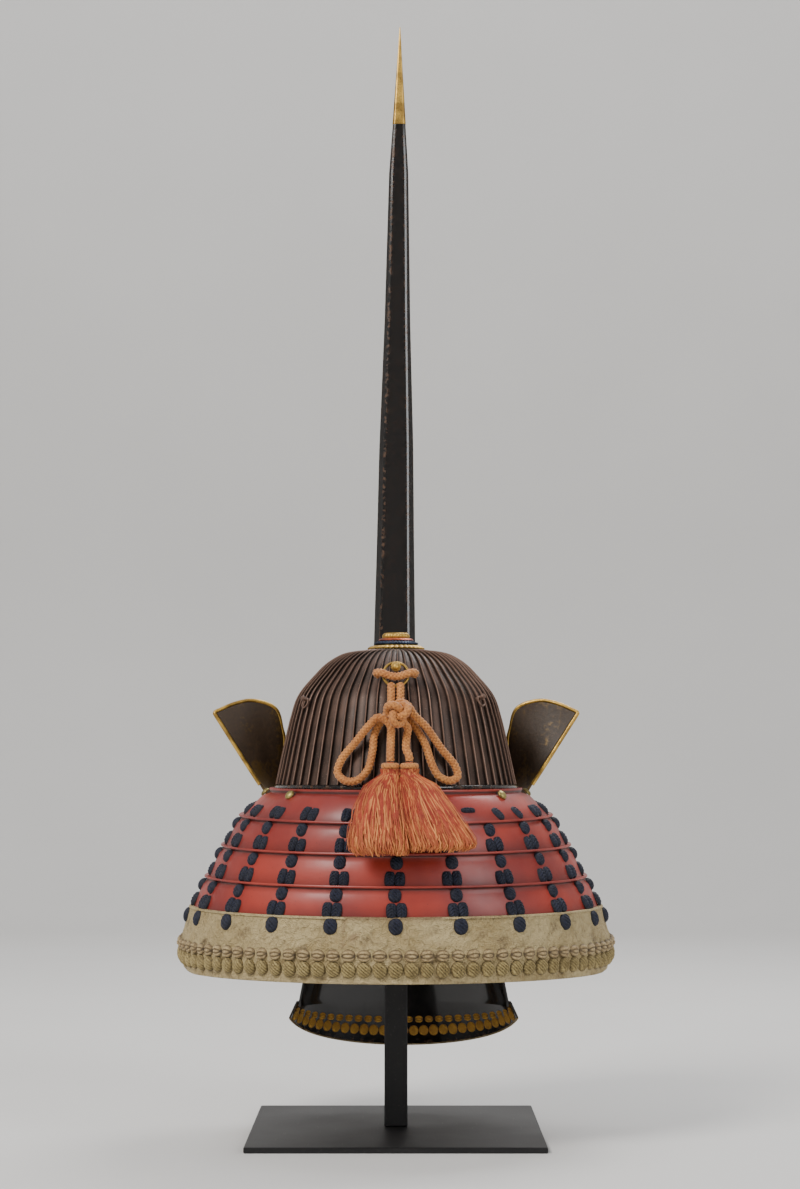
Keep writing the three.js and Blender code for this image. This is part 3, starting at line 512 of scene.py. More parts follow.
def braided(name, points):
    line, length = even_steps(centripetal(points), CORD_STEP)
    sections, wear_and_shade = [], []
    for k, (point, side, up) in enumerate(tube_frames(line)):
        run = length * k / (len(line) - 1) / BRAID_STEP
        ring = []
        for j, angle in enumerate(around(CORD_SIDES)):
            crown = weave(j / CORD_SIDES, run)
            radius = CORD_RADIUS - BRAID_RELIEF + crown * BRAID_RELIEF * 1.1
            ring.append(tuple(point + (side * math.cos(angle) + up * math.sin(angle)) * radius))
            # Painted shade in the gaps between strands.
            wear_and_shade.append(gap_shade(crown))
        sections.append(ring)
    piece = swept(name, sections, sharp=80, wear_and_shade=wear_and_shade)
    return piece, [tuple(p * MM) for p in line], length * MM


HITCH_LINE = [
    (-15.5, -87.6, 403.6), (-16.8, -91.6, 405), (-12.6, -95.8, 405), (-6, -96.8, 402.6),
    (0, -97, 401.6), (6, -96.8, 402.6), (12.6, -95.8, 405), (16.8, -91.6, 405),
    (15.5, -87.6, 403.6),
]
LEFT_LINE = [
    (-4, -100, 394.8), (-4, -103.4, 388.8), (-4, -106.6, 382), (-4.8, -109, 375),
    (-8, -111, 368.4), (-13.5, -112.2, 361), (-18, -113, 352), (-20, -115.8, 336),
    (-24, -119.4, 321), (-32.5, -119.6, 312.4), (-42.5, -115.6, 311.6), (-49.8, -109.8, 318.4),
    (-46.4, -109, 330), (-34.6, -111.6, 344.5), (-21.8, -118.2, 360), (-15.4, -120.4, 365.6),
    (-9, -121.2, 363.6), (-4.2, -121.2, 357.4), (-4.1, -119, 349.4), (-4.4, -122.4, 339),
    (-4.6, -126.4, 332.6), (-4.6, -127, 328.2),
]
RIGHT_LINE = [
    (4, -100, 394.8), (4, -103.4, 388.8), (4, -106.6, 382), (4.8, -109, 375), (8, -111, 368.4),
    (13.5, -112.2, 361.6), (18.5, -112.4, 355), (25.5, -114.2, 342), (31, -116.6, 325.5),
    (37, -117.4, 315.4), (46.5, -114.2, 311.8), (52.8, -110, 315.4), (51, -108.6, 324),
    (39.2, -111, 339), (26, -118.2, 357.5), (15.6, -120, 368), (10.4, -119.6, 375.6),
    (4, -119.8, 378.6), (-1, -120, 374.4), (0.8, -121.4, 368.2), (6, -122.2, 362),
    (10.2, -121.4, 356.4), (9.4, -120, 349.6), (8.8, -122.6, 339), (11.4, -126.4, 332.6),
    (11.5, -127, 328.2),
]


def knot_line(size=3.25, middle=(1.5, -128.5, 369.5), depth=4.2, steps=30):
    """The interlaced middle of the bow's knot: a three-lobed closed turn before the crossing."""
    line = []
    for k in range(steps + 1):
        a = math.pi / 2 + 2 * math.pi * k / steps
        line.append((middle[0] + size * (math.sin(a) + 2 * math.sin(2 * a)),
                     middle[1] - depth * math.sin(3 * a),
                     middle[2] + size * (math.cos(a) - 2 * math.cos(2 * a))))
    return line


cords = {}
for name, points in (("hitch", HITCH_LINE), ("left", LEFT_LINE), ("right", RIGHT_LINE)):
    cords[name] = braided("bow_cord_" + name + "_braid", points)
    settle(cords[name][0], ORANGE_SILK, "orange_silk", "bow_cord_" + name)
    print(name, "cord is", round(cords[name][2] * 1000), "mm long")

# %% [markdown]
# A tassel is a bundle of unspun silk, bound with a turn of the cord and left to spread.
# A thousand separate thin strands catch the light as real silk does, over a plain core
# that stops one from seeing through. Each strand keeps its own place in the bundle.

# %% Tassels
class Parts:
    """Gathers several closed forms into one mesh, each turned outwards."""

    def __init__(self):
        self.points, self.faces, self.wear_and_shade = [], [], []

    def add(self, sections, wear_and_shade=0.0, loop=False):
        self.add_mesh(*closed_form(sections, loop), wear_and_shade)

    def add_mesh(self, points, faces, wear_and_shade=0.0):
        start = len(self.points)
        self.points += points
        self.faces += [tuple(start + k for k in face) for face in outwards(points, faces)]
        self.wear_and_shade += list(wear_and_shade) if hasattr(wear_and_shade, "__len__") else [wear_and_shade] * len(points)

    def build(self, name, sharp=40):
        return make_object(name, self.points, self.faces, sharp, self.wear_and_shade)


# Rows of height, left edge, right edge, distance back and half depth, from the head down.
TASSEL_LEFT = [
    (327.6, -8, -1.2, 127, 3.4), (324.5, -12.3, 3.1, 127, 7.4), (319.5, -12.3, 3.1, 127, 7.4),
    (316.5, -12.8, 3.0, 128, 6.6), (309, -24, 3.2, 134, 9), (297, -31, 4.5, 144, 11),
    (277, -36, 7.5, 162, 12), (258, -38, 11, 170, 13), (251, -34, 10, 171, 11),
]
TASSEL_RIGHT = [
    (327.6, 8.2, 15, 127, 3.4), (324.5, 3.7, 19.3, 127, 7.4), (319.5, 3.7, 19.3, 127, 7.4),
    (316.5, 4, 20, 128, 6.6), (309, 4.1, 33, 134, 9), (297, 5.4, 42, 144, 11),
    (277, 8.4, 56, 162, 12), (260, 11.9, 66, 170, 13), (254, 12.5, 60, 171, 11),
]
HEAD_ROWS = 3
STRANDS = 1050
STRAND_STEPS = 14
STRAY_SHARE = 0.07
PALE_CHOICES = (0.0, 0.0, 0.1, 0.45, 0.8)


def tassel_ring(row, sides, scale=1.0):
    z, left, right, back, half = row
    middle, half_width = (left + right) / 2, (right - left) / 2
    return [(middle + math.cos(a) * half_width * scale, -back + math.sin(a) * half * scale, z)
            for a in around(sides)]


def tassel_collar(name, rows):
    """The turn of cord that binds the tassel's head, with the slant of its braid."""
    row, steps, sides, radius, relief = rows[1], 72, 20, 2.4, 0.55
    centre = Vector(((row[1] + row[2]) / 2, -row[3], rows[1][0] - 0.4))
    sections, wear_and_shade = [], []
    for k, (x, y, _) in enumerate(tassel_ring(row, steps, 0.68)):
        out = (Vector((x, y, centre.z)) - centre).normalized()
        ring = []
        for j, a in enumerate(around(sides)):
            crown = weave(j / sides, k / 4.5)
            size = radius + relief * crown
            ring.append((x + out.x * size * math.cos(a), y + out.y * size * math.cos(a),
                         centre.z + size * math.sin(a)))
            # Painted shade in the gaps between strands.
            wear_and_shade.append(gap_shade(crown))
        sections.append(ring)
    collar = swept(name, sections, loop=True, sharp=80, wear_and_shade=wear_and_shade)
    return settle(collar, ORANGE_SILK, "orange_silk")


def tassel(name, rows, seed):
    chance = random.Random(seed)
    parts = Parts()
    parts.add([tassel_ring(row, 24, 0.8) for row in rows[:4]], wear_and_shade=0.2)
    hanging = [(322.0, *rows[2][1:])] + rows[HEAD_ROWS:]
    parts.add([tassel_ring(row, 24, 0.78) for row in hanging[:-1]], wear_and_shade=0.0)
    for _ in range(STRANDS):
        angle = chance.uniform(0, 2 * math.pi)
        reach = math.sqrt(chance.uniform(0.5, 1.0))
        turn, sway = chance.uniform(-0.45, 0.45), chance.uniform(0.6, 2.8)
        drop = chance.uniform(0.76, 1.03)
        phase, width = chance.uniform(0, 6.3), chance.uniform(0.3, 0.55)
        crimp, pace = chance.uniform(0.2, 0.75), chance.uniform(1.6, 2.6)
        pale = chance.choice(PALE_CHOICES)
        if chance.random() < STRAY_SHARE:
            reach, drop, width = reach * 1.1, drop * 0.97, 0.25
            sway, crimp = sway * 2.2, crimp * 1.6
        sections, wear_and_shade = [], []
        for step in range(STRAND_STEPS + 1):
            share = step / STRAND_STEPS * drop
            z, left, right, back, half = spline(hanging, min(share, 1.0))
            z -= max(0.0, share - 1.0) * 60
            a = angle + turn * share + 0.05 * math.sin(phase + step)
            lean = (sway * share * math.sin(phase + share * 5)
                    + crimp * math.sin(phase + step * pace))
            x = (left + right) / 2 + math.cos(a) * (right - left) / 2 * reach + lean
            y = -back + math.sin(a) * half * reach - crimp * 0.8 * math.cos(phase + step * pace)
            size = width * (1.0 if step < STRAND_STEPS else 0.4)
            sections.append([(x + size * dx, y + size * dy, z)
                             for dx, dy in ((1, -0.5), (0, 0.9), (-1, -0.5))])
            wear_and_shade += [min(1.0, max(0.0, share * 1.2 - 0.75) + pale)] * 3
        parts.add(sections, wear_and_shade)
    return settle(parts.build(name, 70), RED_SILK, "red_silk", name.replace("_silk", ""))


tassel_left = tassel("tassel_left_silk", TASSEL_LEFT, 11)
tassel_right = tassel("tassel_right_silk", TASSEL_RIGHT, 12)
for side, rows, piece in (("left", TASSEL_LEFT, tassel_left),
                          ("right", TASSEL_RIGHT, tassel_right)):
    collar = tassel_collar(f"tassel_{side}_collar", rows)
knot, line, length = braided("bow_knot_turns", knot_line())
settle(knot, ORANGE_SILK, "orange_silk")
print("tassel triangles:", sum(len(p) - 2 for t in (tassel_left, tassel_right)
                               for p in (face.vertices for face in t.data.polygons)))

# %% [markdown]
# The bowl is made of 62 tapering iron plates. Each plate's edge is turned up as a standing
# flange, the suji, and all run together under the finial. One ring of points per height,
# with eight points a plate, draws every flange with its flank, crown and the hollow beside it.

# %% Ribbed bowl
RIB_COUNT = 62
RIB_HEIGHT = 2.2
BOWL_WALL = 2.2
BOWL_PROFILE = [
    (1, 0), (0.925, 0.31), (0.873, 0.504), (0.811, 0.66),
    (0.671, 0.81), (0.563, 0.9), (0.425, 0.965), (0.244, 1),
]
# Across one plate: the place in its width, the height of the rib there, and its wear and shade:
# rubbed iron with a painted highlight above 0, painted shade in the hollows below 0.
RIB_PHASES = [
    (-0.095, -0.1, -0.9), (-0.06, 0.85, 0.75), (0.0, 1.0, 1.2), (0.05, 0.85, 0.5),
    (0.08, -0.12, -1.2), (0.3, 0.02, 0.08), (0.5, 0.06, 0.12), (0.7, 0.02, 0.08),
]


def bowl_point(place, angle, out):
    radius, height = profile_at(place)
    step = 0.01
    before, after = profile_at(max(place - step, 0)), profile_at(min(place + step, 1))
    run, rise = (after[0] - before[0]) * BOWL_SIZES[0], (after[1] - before[1]) * BOWL_SIZES[2]
    size = math.hypot(run, rise)
    flat, up = rise / size, -run / size
    return (math.sin(angle) * (radius * BOWL_SIZES[0] + flat * out),
            -math.cos(angle) * (radius * BOWL_SIZES[1] + flat * out),
            BOWL_FOOT + height * BOWL_SIZES[2] + up * out)


def profile_at(place):
    """Radius and height shares of the bowl, smooth from foot to crown."""
    return spline(BOWL_PROFILE, place)


def ribbed_bowl():
    rows, phases = 34, len(RIB_PHASES)
    columns = RIB_COUNT * phases
    angles = [(c // phases + 0.25 + RIB_PHASES[c % phases][0]) / RIB_COUNT * 2 * math.pi
              for c in range(columns)]
    sections, wear_and_shade = [], []
    for r in range(rows + 1):
        place = r / rows
        fade = min(1.0, max(0.35, (profile_at(place)[0] - 0.2) / 0.25))
        sections.append([bowl_point(place, angle, RIB_PHASES[c % phases][1] * RIB_HEIGHT * fade)
                         for c, angle in enumerate(angles)])
        # Wear and painted highlight on the ribs, painted shade in the hollows beside them.
        wear_and_shade += [RIB_PHASES[c % phases][2] * 0.8 for c in range(columns)]
    for r in range(rows, -1, -1):
        sections.append([bowl_point(r / rows, angle, -BOWL_WALL) for angle in angles])
        wear_and_shade += [0.0] * columns
    return swept("bowl_plates", sections, loop=True, sharp=32, wear_and_shade=wear_and_shade)


bowl = settle(ribbed_bowl(), RUSSET_IRON, "russet_iron", "bowl")
print("bowl faces:", len(bowl.data.polygons), "ribs:", RIB_COUNT)

# %% [markdown]
# The rim is a thin black band under the bowl. The neck guard's five plates hang from it:
# every plate is a strip bent round the neck with a rolled lip along its head. A section of
# the strip is drawn once and carried round the guard, so lip, face and skirt stay joined.

# %% Rim and neck guard
RIM = 6.3
GUARD = (192.6, 170.0, 164.0)
GUARD_LEVELS = [
    (0, 0, 0.015, 0.01), (0.323, 0.38, 0.155, 0.034), (0.527, 0.526, 0.317, 0.029),
    (0.706, 0.711, 0.486, 0.025), (0.896, 0.897, 0.651, 0.015), (1, 1, 0.854, 0),
    (0.97, 0.96, 1, 0),
]
GUARD_ANGLE = 125
GUARD_STEPS = 150
LAME_WALL = 2.0
LAME_LIP = 2.6
GAP = 0.3
LAME_STEP = LAME_WALL + GAP


def bowl_rim():
    """A band with rounded corners, drawn once in reach and height and carried round the bowl."""
    reach, depth, height, corner = 3.4, 9.0, 4.0, 0.5
    top, steps = BOWL_FOOT - GAP, 180
    foot = top - height
    band = [(reach - depth, foot), (reach - corner, foot), (reach, foot + corner),
            (reach, top - corner), (reach - corner, top), (reach - depth, top)]
    sections = []
    for k in range(steps):
        angle = k / steps * 2 * math.pi
        sections.append([(math.sin(angle) * (BOWL_SIZES[0] + out),
                          -math.cos(angle) * (BOWL_SIZES[1] + out), z) for out, z in band])
    return swept("rim_band", sections, loop=True, sharp=50, wear_and_shade=[0, 0, 0.6, 1.0, 0.8, 0] * steps)


def guard_level(place):
    """Half width, half depth, height and sag at a level, 0 to 6, straight between levels."""
    k = min(int(place), 5)
    width, depth, drop, sag = mix_points(GUARD_LEVELS[k], GUARD_LEVELS[k + 1], place - k)
    return (mix(BOWL_SIZES[0] + RIM, GUARD[0], width), mix(BOWL_SIZES[1] + RIM, GUARD[1], depth),
            BOWL_FOOT - drop * GUARD[2], sag * GUARD[2])


def guard_point(place, degrees, out=0.0, down=0.0):
    half_width, half_depth, z, sag = guard_level(place)
    a = math.radians(degrees)
    return (math.sin(a) * (half_width + out), -math.cos(a) * (half_depth + out),
            z - down - sag * math.cos(a))


def uneven(degrees, seed, size):
    """A slow wander along a strip, so that no lip is perfectly true."""
    return size * (math.sin(degrees * 0.061 + seed * 2.1)
                   + 0.6 * math.sin(degrees * 0.17 + seed * 3.7)) / 1.6


def lame_section(k, degrees, lip, next_wall):
    inset = -next_wall - GAP
    wave = uneven(degrees, k, 0.25)
    lip_top = [(0.0, lip * 0.35, 0.35), (0.0, lip * 0.8, -0.0), (0.0, lip + wave, 0.7),
               (0.0, lip + wave, 1.5), (0.0, lip * 0.6, 2.3), (0.0, 0.45, 2.9), (0.0, 0.1, 4.2)]
    face = [(0.3, mix(0.1, inset, 0.3) + 0.35, 0.0), (0.65, mix(0.1, inset, 0.65) + 0.35, 0.0),
            (1.0, inset, 0.0), (1.0, inset, 6.0)]
    inner = [(1.0, inset - LAME_WALL, 6.0), (1.0, inset - LAME_WALL, 0.0),
             (0.5, inset * 0.5 - LAME_WALL, 0.0), (0.0, -LAME_WALL, 4.0), (0.0, -LAME_WALL, 0.6)]
    return [guard_point(k + share, degrees, out, down)
            for share, out, down in lip_top + face + inner]


def make_lame(k):
    lip = 1.0 if k == 0 else LAME_LIP
    next_wall = 3.0 if k == 3 else LAME_WALL
    sections = [lame_section(k, degrees, lip, next_wall)
                for degrees in fan(GUARD_ANGLE, GUARD_STEPS)]
    # Slight wear on the lip; below 0, painted shade under the lip and where the next lame covers.
    rub_and_shade = [0, 0.1, 0.1, -0.2, -0.85, -1.0, -0.3, 0, 0, -0.3, 0, 0, 0, 0, 0, 0]
    piece = swept(f"lame_{k + 1}_face", sections, sharp=60, wear_and_shade=rub_and_shade * len(sections))
    return settle(piece, RED_LACQUER, "red_lacquer", f"lame_{k + 1}")


settle(bowl_rim(), BLACK_LACQUER, "black_lacquer", "bowl_rim")
lames = [make_lame(k) for k in range(4)]
print("lames:", [len(lame.data.polygons) for lame in lames])

# %% [markdown]
# The last plate is faced with cream leather rather than lacquer. Leather dries, shrinks and
# wrinkles, and its rolled top edge has torn open beside the middle. A dense grid is pushed
# in and out by slow noise, its head is rolled, and the torn stretch is left thin and stained.

# %% Cream plate
PLATE_WALL = 3.0
CORNER_LIFT = 45.0
# Angles between which the head is torn; the seam's angle and foot; the stain's angle and row.
TORN = (-13.5, 12.5)
SEAM = (-13.4, 0.42)
STAIN = (-10.6, 0.27)


def plate_point(degrees, row, out, down=0.0):
    place = 4 + row * 2
    lift = CORNER_LIFT * max(0.0, (abs(degrees) - 65) / 60) ** 2 * row * row
    return guard_point(place, degrees, out, down - lift)


def wrinkle(degrees, row):
    a, b = degrees * 0.21, row * 9.0
    folds = (math.sin(a * 1.3 + math.sin(b) * 1.4) * math.sin(b * 0.8 + a * 0.37)
             + 0.5 * math.sin(a * 4.1 + b * 1.7))
    crumbs = (math.sin(degrees * 2.9 + math.sin(row * 31))
              * math.sin(row * 47 + math.sin(degrees * 1.7) * 2))
    return (0.5 * folds + 0.3 * crumbs) * min(1.0, row * 6)


def torn_share(degrees):
    middle, half = (TORN[0] + TORN[1]) / 2, (TORN[1] - TORN[0]) / 2
    return min(1.0, max(0.0, (half + 0.5 - abs(degrees - middle)) / 1.2))


def cream_plate():
    steps, rows = 520, 48
    sections, wear_and_shade = [], []
    for degrees in fan(GUARD_ANGLE, steps):
        torn = torn_share(degrees)
        roll = 0.9 * (1 - torn)
        ragged = torn * (0.5 + 0.35 * math.sin(degrees * 5.1) + 0.25 * math.sin(degrees * 11.7))
        head = [(-0.6, 0.0), (roll * 0.6 - 0.2, -0.1), (roll + 0.3, 0.7), (roll + 0.3, 1.7),
                (-0.3 - torn * 0.2, 2.5)]
        ring = [plate_point(degrees, 0, out, ragged + down) for out, down in head]
        # The head: stained where torn; where whole, painted shade under the rolled edge.
        rub_and_shade = [torn, torn * 0.9, torn * 0.7, torn * 0.6, torn - 0.8]
        for r in range(1, rows + 1):
            row = r / rows
            seam = -0.9 * math.exp(-((degrees - SEAM[0]) / 0.5) ** 2) if row < SEAM[1] else 0.0
            ring.append(plate_point(degrees, row, wrinkle(degrees, row) + seam - 0.2))
            near = 0.6 * math.exp(-((degrees - STAIN[0]) / 1.6) ** 2
                                  - ((row - STAIN[1]) / 0.06) ** 2)
            # Painted shade in the wrinkles' valleys, below 0.
            valley_shade = min(0.0, wrinkle(degrees, row) + 0.28) * 1.4
            marked = near * 1.3 + torn * 0.5 * max(0.0, 1 - row * 9) - seam * 0.6
            rub_and_shade.append(min(1.0, marked) + valley_shade)
        ring.append(plate_point(degrees, 1, -0.9, 0.3))
        for row in (1.0, 0.75, 0.5, 0.25, 0.0):
            ring.append(plate_point(degrees, row, -PLATE_WALL))
        wear_and_shade += rub_and_shade + [0.0] * 6
        sections.append(ring)
    return swept("plate_leather", sections, sharp=60, wear_and_shade=wear_and_shade)


plate = settle(cream_plate(), CREAM_LEATHER, "cream_leather", "bottom_plate")
print("plate faces:", len(plate.data.polygons))

# %% [markdown]
# Repeats such as stitches and knots are one template set on points by Geometry Nodes. A
# carrier mesh holds a point for each stitch, with the direction it faces, the direction of
# its head and its width. The tree turns each copy by them, and is then made a plain mesh.

# %% A Geometry Nodes tree that sets a template on points
def template(name, parts, material):
    """An object that isn't in the scene itself, only its copies."""
    obj = parts.build(name, 50)
    obj.data.materials.append(material)
    bpy.context.scene.collection.objects.unlink(obj)
    return obj


def setting_tree(material):
    tree = bpy.data.node_groups.new("set on points", "GeometryNodeTree")
    face = tree.interface
    face.new_socket("Geometry", in_out='INPUT', socket_type='NodeSocketGeometry')
    face.new_socket("Template", in_out='INPUT', socket_type='NodeSocketObject')
    face.new_socket("Geometry", in_out='OUTPUT', socket_type='NodeSocketGeometry')
    new, link = tree.nodes.new, tree.links.new
    start, end = new("NodeGroupInput"), new("NodeGroupOutput")
    info = new("GeometryNodeObjectInfo")
    turn = new("FunctionNodeAxesToRotation")
    turn.primary_axis, turn.secondary_axis = 'Z', 'Y'
    place = new("GeometryNodeInstanceOnPoints")
    realize, paint = new("GeometryNodeRealizeInstances"), new("GeometryNodeSetMaterial")
    paint.inputs["Material"].default_value = material
    for attribute, socket in (("normal_out", turn.inputs[0]), ("head_up", turn.inputs[1]),
                              ("size", place.inputs["Scale"])):
        read = new("GeometryNodeInputNamedAttribute")
        read.data_type = 'FLOAT_VECTOR'
        read.inputs["Name"].default_value = attribute
        link(read.outputs["Attribute"], socket)
    link(start.outputs["Template"], info.inputs["Object"])
    link(start.outputs["Geometry"], place.inputs["Points"])
    link(info.outputs["Geometry"], place.inputs["Instance"])
    link(turn.outputs[0], place.inputs["Rotation"])
    link(place.outputs["Instances"], realize.inputs[0])
    link(realize.outputs[0], paint.inputs[0])
    link(paint.outputs[0], end.inputs[0])
    return tree


def set_on_points(name, shape, material, spots):
    """One mesh of a template set on spots of place (mm), outward normal, head direction, size."""
    mesh = bpy.data.meshes.new(name + "_points")
    mesh.from_pydata([tuple(v * MM for v in spot[0]) for spot in spots], [], [])
    for column, key in ((1, "normal_out"), (2, "head_up"), (3, "size")):
        layer = mesh.attributes.new(key, 'FLOAT_VECTOR', 'POINT')
        layer.data.foreach_set("vector", [v for spot in spots for v in spot[column]])
    carrier = placed(name + "_points", mesh)
    tree = setting_tree(material)
    modifier = carrier.modifiers.new("set", 'NODES')
    modifier.node_group = tree
    key = next(item.identifier for item in tree.interface.items_tree
               if item.name == "Template" and item.in_out == 'INPUT')
    modifier[key] = shape
    bpy.context.view_layer.update()
    result = carrier.evaluated_get(bpy.context.evaluated_depsgraph_get())
    made = bpy.data.meshes.new_from_object(result)
    bpy.data.objects.remove(carrier)
    made.name = name
    print(name, "spots:", len(spots), "faces:", len(made.polygons))
    return placed(name, made)


# %% [markdown]
# Sugake lacing shows as a round knot under each lip and a pair of plump flat-braided cords
# beneath it, which go in behind the next lip. One template is the dot with its slanting
# strands, and one is the pair, with the V marks of its braid raised on each cord.

# %% Lacing templates
PAD_SUNK = 0.8


def cushion(parts, middle, half, depth, relief, columns, rows, sides_power):
    """A raised pad: a grid over a rounded outline, swelling outwards, with its own relief."""
    points, wear_and_shade = [], []
    for r in range(rows + 1):
        v = r / rows * 2 - 1
        for c in range(columns + 1):
            u = c / columns * 2 - 1
            reach = (abs(u) ** sides_power + abs(v) ** sides_power) ** (1 / sides_power)
            limit = max(abs(u), abs(v))
            scale = limit / reach if reach > 0 else 1.0
            x, y = u * scale, v * scale
            swell = min(1.0, max(0.0, 1 - limit ** 2)) ** 0.5
            h = relief(x, y)
            points.append((middle + x * half[0], y * half[1],
                           depth * swell * (0.58 + 0.42 * h) - PAD_SUNK))
            # Painted shade in the grooves between strands and round the pad's edge.
            wear_and_shade.append(min(1.0, max(0.0, 0.8 - h) * 1.6 + max(0.0, limit - 0.8) * 4))
    span = columns + 1
    faces = [(r * span + c, r * span + c + 1, (r + 1) * span + c + 1, (r + 1) * span + c)
             for r in range(rows) for c in range(columns)]
    edge_loop = list(range(span)) + [r * span + columns for r in range(1, rows + 1)]
    edge_loop += [rows * span + c for c in range(columns - 1, -1, -1)]
    edge_loop += [r * span for r in range(rows - 1, 0, -1)]
    faces.append(tuple(reversed(edge_loop)))
    parts.add_mesh(points, faces, wear_and_shade)


def strand(place, sharpness):
    """Rounded ridges, one for each whole step of place."""
    return abs(math.sin(math.pi * (place + 0.5))) ** sharpness


def slanted(strands, slope, sharpness=0.7):
    return lambda x, y: strand(strands * (x * slope + y) / 2, sharpness)


def knitted(strands):
    """V marks that meet in a groove down the middle."""
    return lambda x, y: (strand(strands * (y + 0.55 * abs(x)) / 2, 0.8)
                         * (1 - 0.5 * math.exp(-(x / 0.12) ** 2)))


# Each pad: its middle, half width and height, depth, relief, grid and how square it is.
dot = Parts()
cushion(dot, 0, (5.9, 6.1), 4.7, slanted(4, 0.8), 16, 16, 2.2)
pair = Parts()
for side in (-1, 1):
    cushion(pair, side * 4.15, (4.75, 7.2), 4.3, knitted(5), 14, 20, 3.0)
DOT = template("dot_template", dot, NAVY_SILK)
PAIR = template("pair_template", pair, NAVY_SILK)
print("template faces:", len(DOT.data.polygons), len(PAIR.data.polygons))

# %% [markdown]
# Fifteen columns of lacing run over the guard. A column's stitches keep one angle round the
# neck, so at the sides they lean as in the photograph. On the first lame's right side the
# silk has frayed, and only single strands are left of two pairs.

# %% Set the lacing
LACE_ANGLE = 119
LACE_COUNT = 15
LACE_ANGLES = fan(LACE_ANGLE, LACE_COUNT - 1)
FRAYED = (9, 10)
FRAYED_STRANDS = [(0.66, 28.6, 84, 0.62), (0.8, 41.6, 24, 1.0), (0.8, 52.6, 22, 1.0)]


def spot_on(surface, place, degrees, sink, size, lean=0.0):
    """A point on a surface with its outward normal and the direction of its head."""
    here = Vector(surface(place, degrees, sink))
    across = Vector(surface(place, degrees + 0.5, sink)) - here
    upwards = here - Vector(surface(place + 0.03, degrees, sink))
    normal = across.cross(upwards).normalized()
    if normal.dot(Vector(surface(place, degrees, sink + 1)) - here) < 0:
        normal.negate()
    upwards = (upwards - normal * upwards.dot(normal)).normalized()
    upwards.rotate(Quaternion(normal, math.radians(lean)))
    return (tuple(here), tuple(normal), tuple(upwards), size)


def face_sink(share):
    """How far out a lame's face lies at a share of its drop."""
    return 0.35 - share * LAME_STEP


chance = random.Random(7)
dots, pairs = [], []
for k, angle in enumerate(LACE_ANGLES):
    for lame in range(4):
        shift, lean = chance.uniform(-0.35, 0.35), chance.uniform(-3, 3)
        grown = chance.uniform(0.95, 1.05)
        if lame > 0:
            dots.append(spot_on(guard_point, lame + 0.3, angle + shift, face_sink(0.3),
                                (grown, 1.0, 1.0), lean))
        if lame > 0 or k not in FRAYED:
            pairs.append(spot_on(guard_point, lame + 0.79, angle - shift, face_sink(0.79),
                                 (1.0, grown, 1.0), -lean))
    dots.append(spot_on(guard_point, 4.25, angle, 0.2, (1.08, 1.2, 1.0), chance.uniform(-4, 4)))
singles = [spot_on(guard_point, place, angle, face_sink(place), (1.25 * size, 1.05, 0.95), lean)
           for place, angle, lean, size in FRAYED_STRANDS]

single = Parts()
cushion(single, 0, (3.6, 7.0), 4.0, knitted(5), 10, 16, 3)
SINGLE = template("single_template", single, NAVY_SILK)
laces = [f"lace_{k:02d}" for k in range(1, LACE_COUNT + 1)]
for name, shape, spots, nodes in (("dots", DOT, dots, laces), ("pairs", PAIR, pairs, []),
                                  ("singles", SINGLE, singles, [])):
    piece = set_on_points("lacing_" + name, shape, NAVY_SILK, spots)
    settle(piece, NAVY_SILK, "navy_silk", *nodes)

# %% [markdown]
# Two rows of braided knots hold the last plate's edge together: flat brownish ones above and
# rounder olive-gold ones below. They are spaced by the length along the plate, not by angle,
# because the guard is wider than it is deep and equal angles would crowd them at the sides.

# %% Knot rows
KNOT_ANGLE = 124


def spaced_angles(surface, place, pitch, limit):
    """Angles from -limit to limit, the same length apart along the surface."""
    steps = 400
    lengths = run_lengths([Vector(surface(place, degrees, 0)) for degrees in fan(limit, steps)])
    count = int(lengths[-1] / pitch)
    angles = []
    for j in range(count):
        want = lengths[-1] * (j + 0.5) / count
        k = next(i for i, v in enumerate(lengths) if v >= want)
        part = (want - lengths[k - 1]) / (lengths[k] - lengths[k - 1])
        angles.append(mix(-limit, limit, (k - 1 + part) / steps))
    return angles


def on_plate(place, degrees, out):
    return plate_point(degrees, place, out)


def knot_spots(row, pitch):
    spots = []
    for angle in spaced_angles(on_plate, row, pitch, KNOT_ANGLE):
        size = (chance.uniform(0.93, 1.05), chance.uniform(0.95, 1.05), 1.0)
        spots.append(spot_on(on_plate, row, angle, 0.2, size, chance.uniform(-7, 7)))
    return spots


def crossing(x, y):
    """Slanting strands with a lobe of one crossing strand at the lower left."""
    lobe = math.exp(-((x + 0.55) ** 2 + (y + 0.6) ** 2) / 0.12)
    return max(slanted(5, 0.85, 0.8)(x, y), lobe)


def looped(x, y):
    """A strand laid round a middle one, like a small flat button."""
    return abs(math.cos(math.pi * 1.5 * math.hypot(x * 0.42, y))) ** 0.7


big_knot, flat_knot = Parts(), Parts()
cushion(big_knot, 0, (6.6, 7.3), 5.2, crossing, 18, 18, 2.0)
cushion(flat_knot, 0, (6.1, 5.2), 4.6, looped, 16, 16, 2.0)
BIG_KNOT = template("big_knot_template", big_knot, GOLD_BRAID)
FLAT_KNOT = template("flat_knot_template", flat_knot, DARK_BRAID)
for name, shape, braid, row, pitch in (("upper", FLAT_KNOT, DARK_BRAID, 0.52, 13.1),
                                       ("lower", BIG_KNOT, GOLD_BRAID, 0.76, 13.0)):
    knots = set_on_points("knots_" + name, shape, braid, knot_spots(row, pitch))
    settle(knots, braid, "gold_braid", "knot_row_" + name)

# %% [markdown]
# Small fittings are turned forms: cast pins on the first lame, the stud's rosette, and the
# stacked finial. A turned form is a profile of radius and height carried round an axis, and
# its radius can swell at each petal.

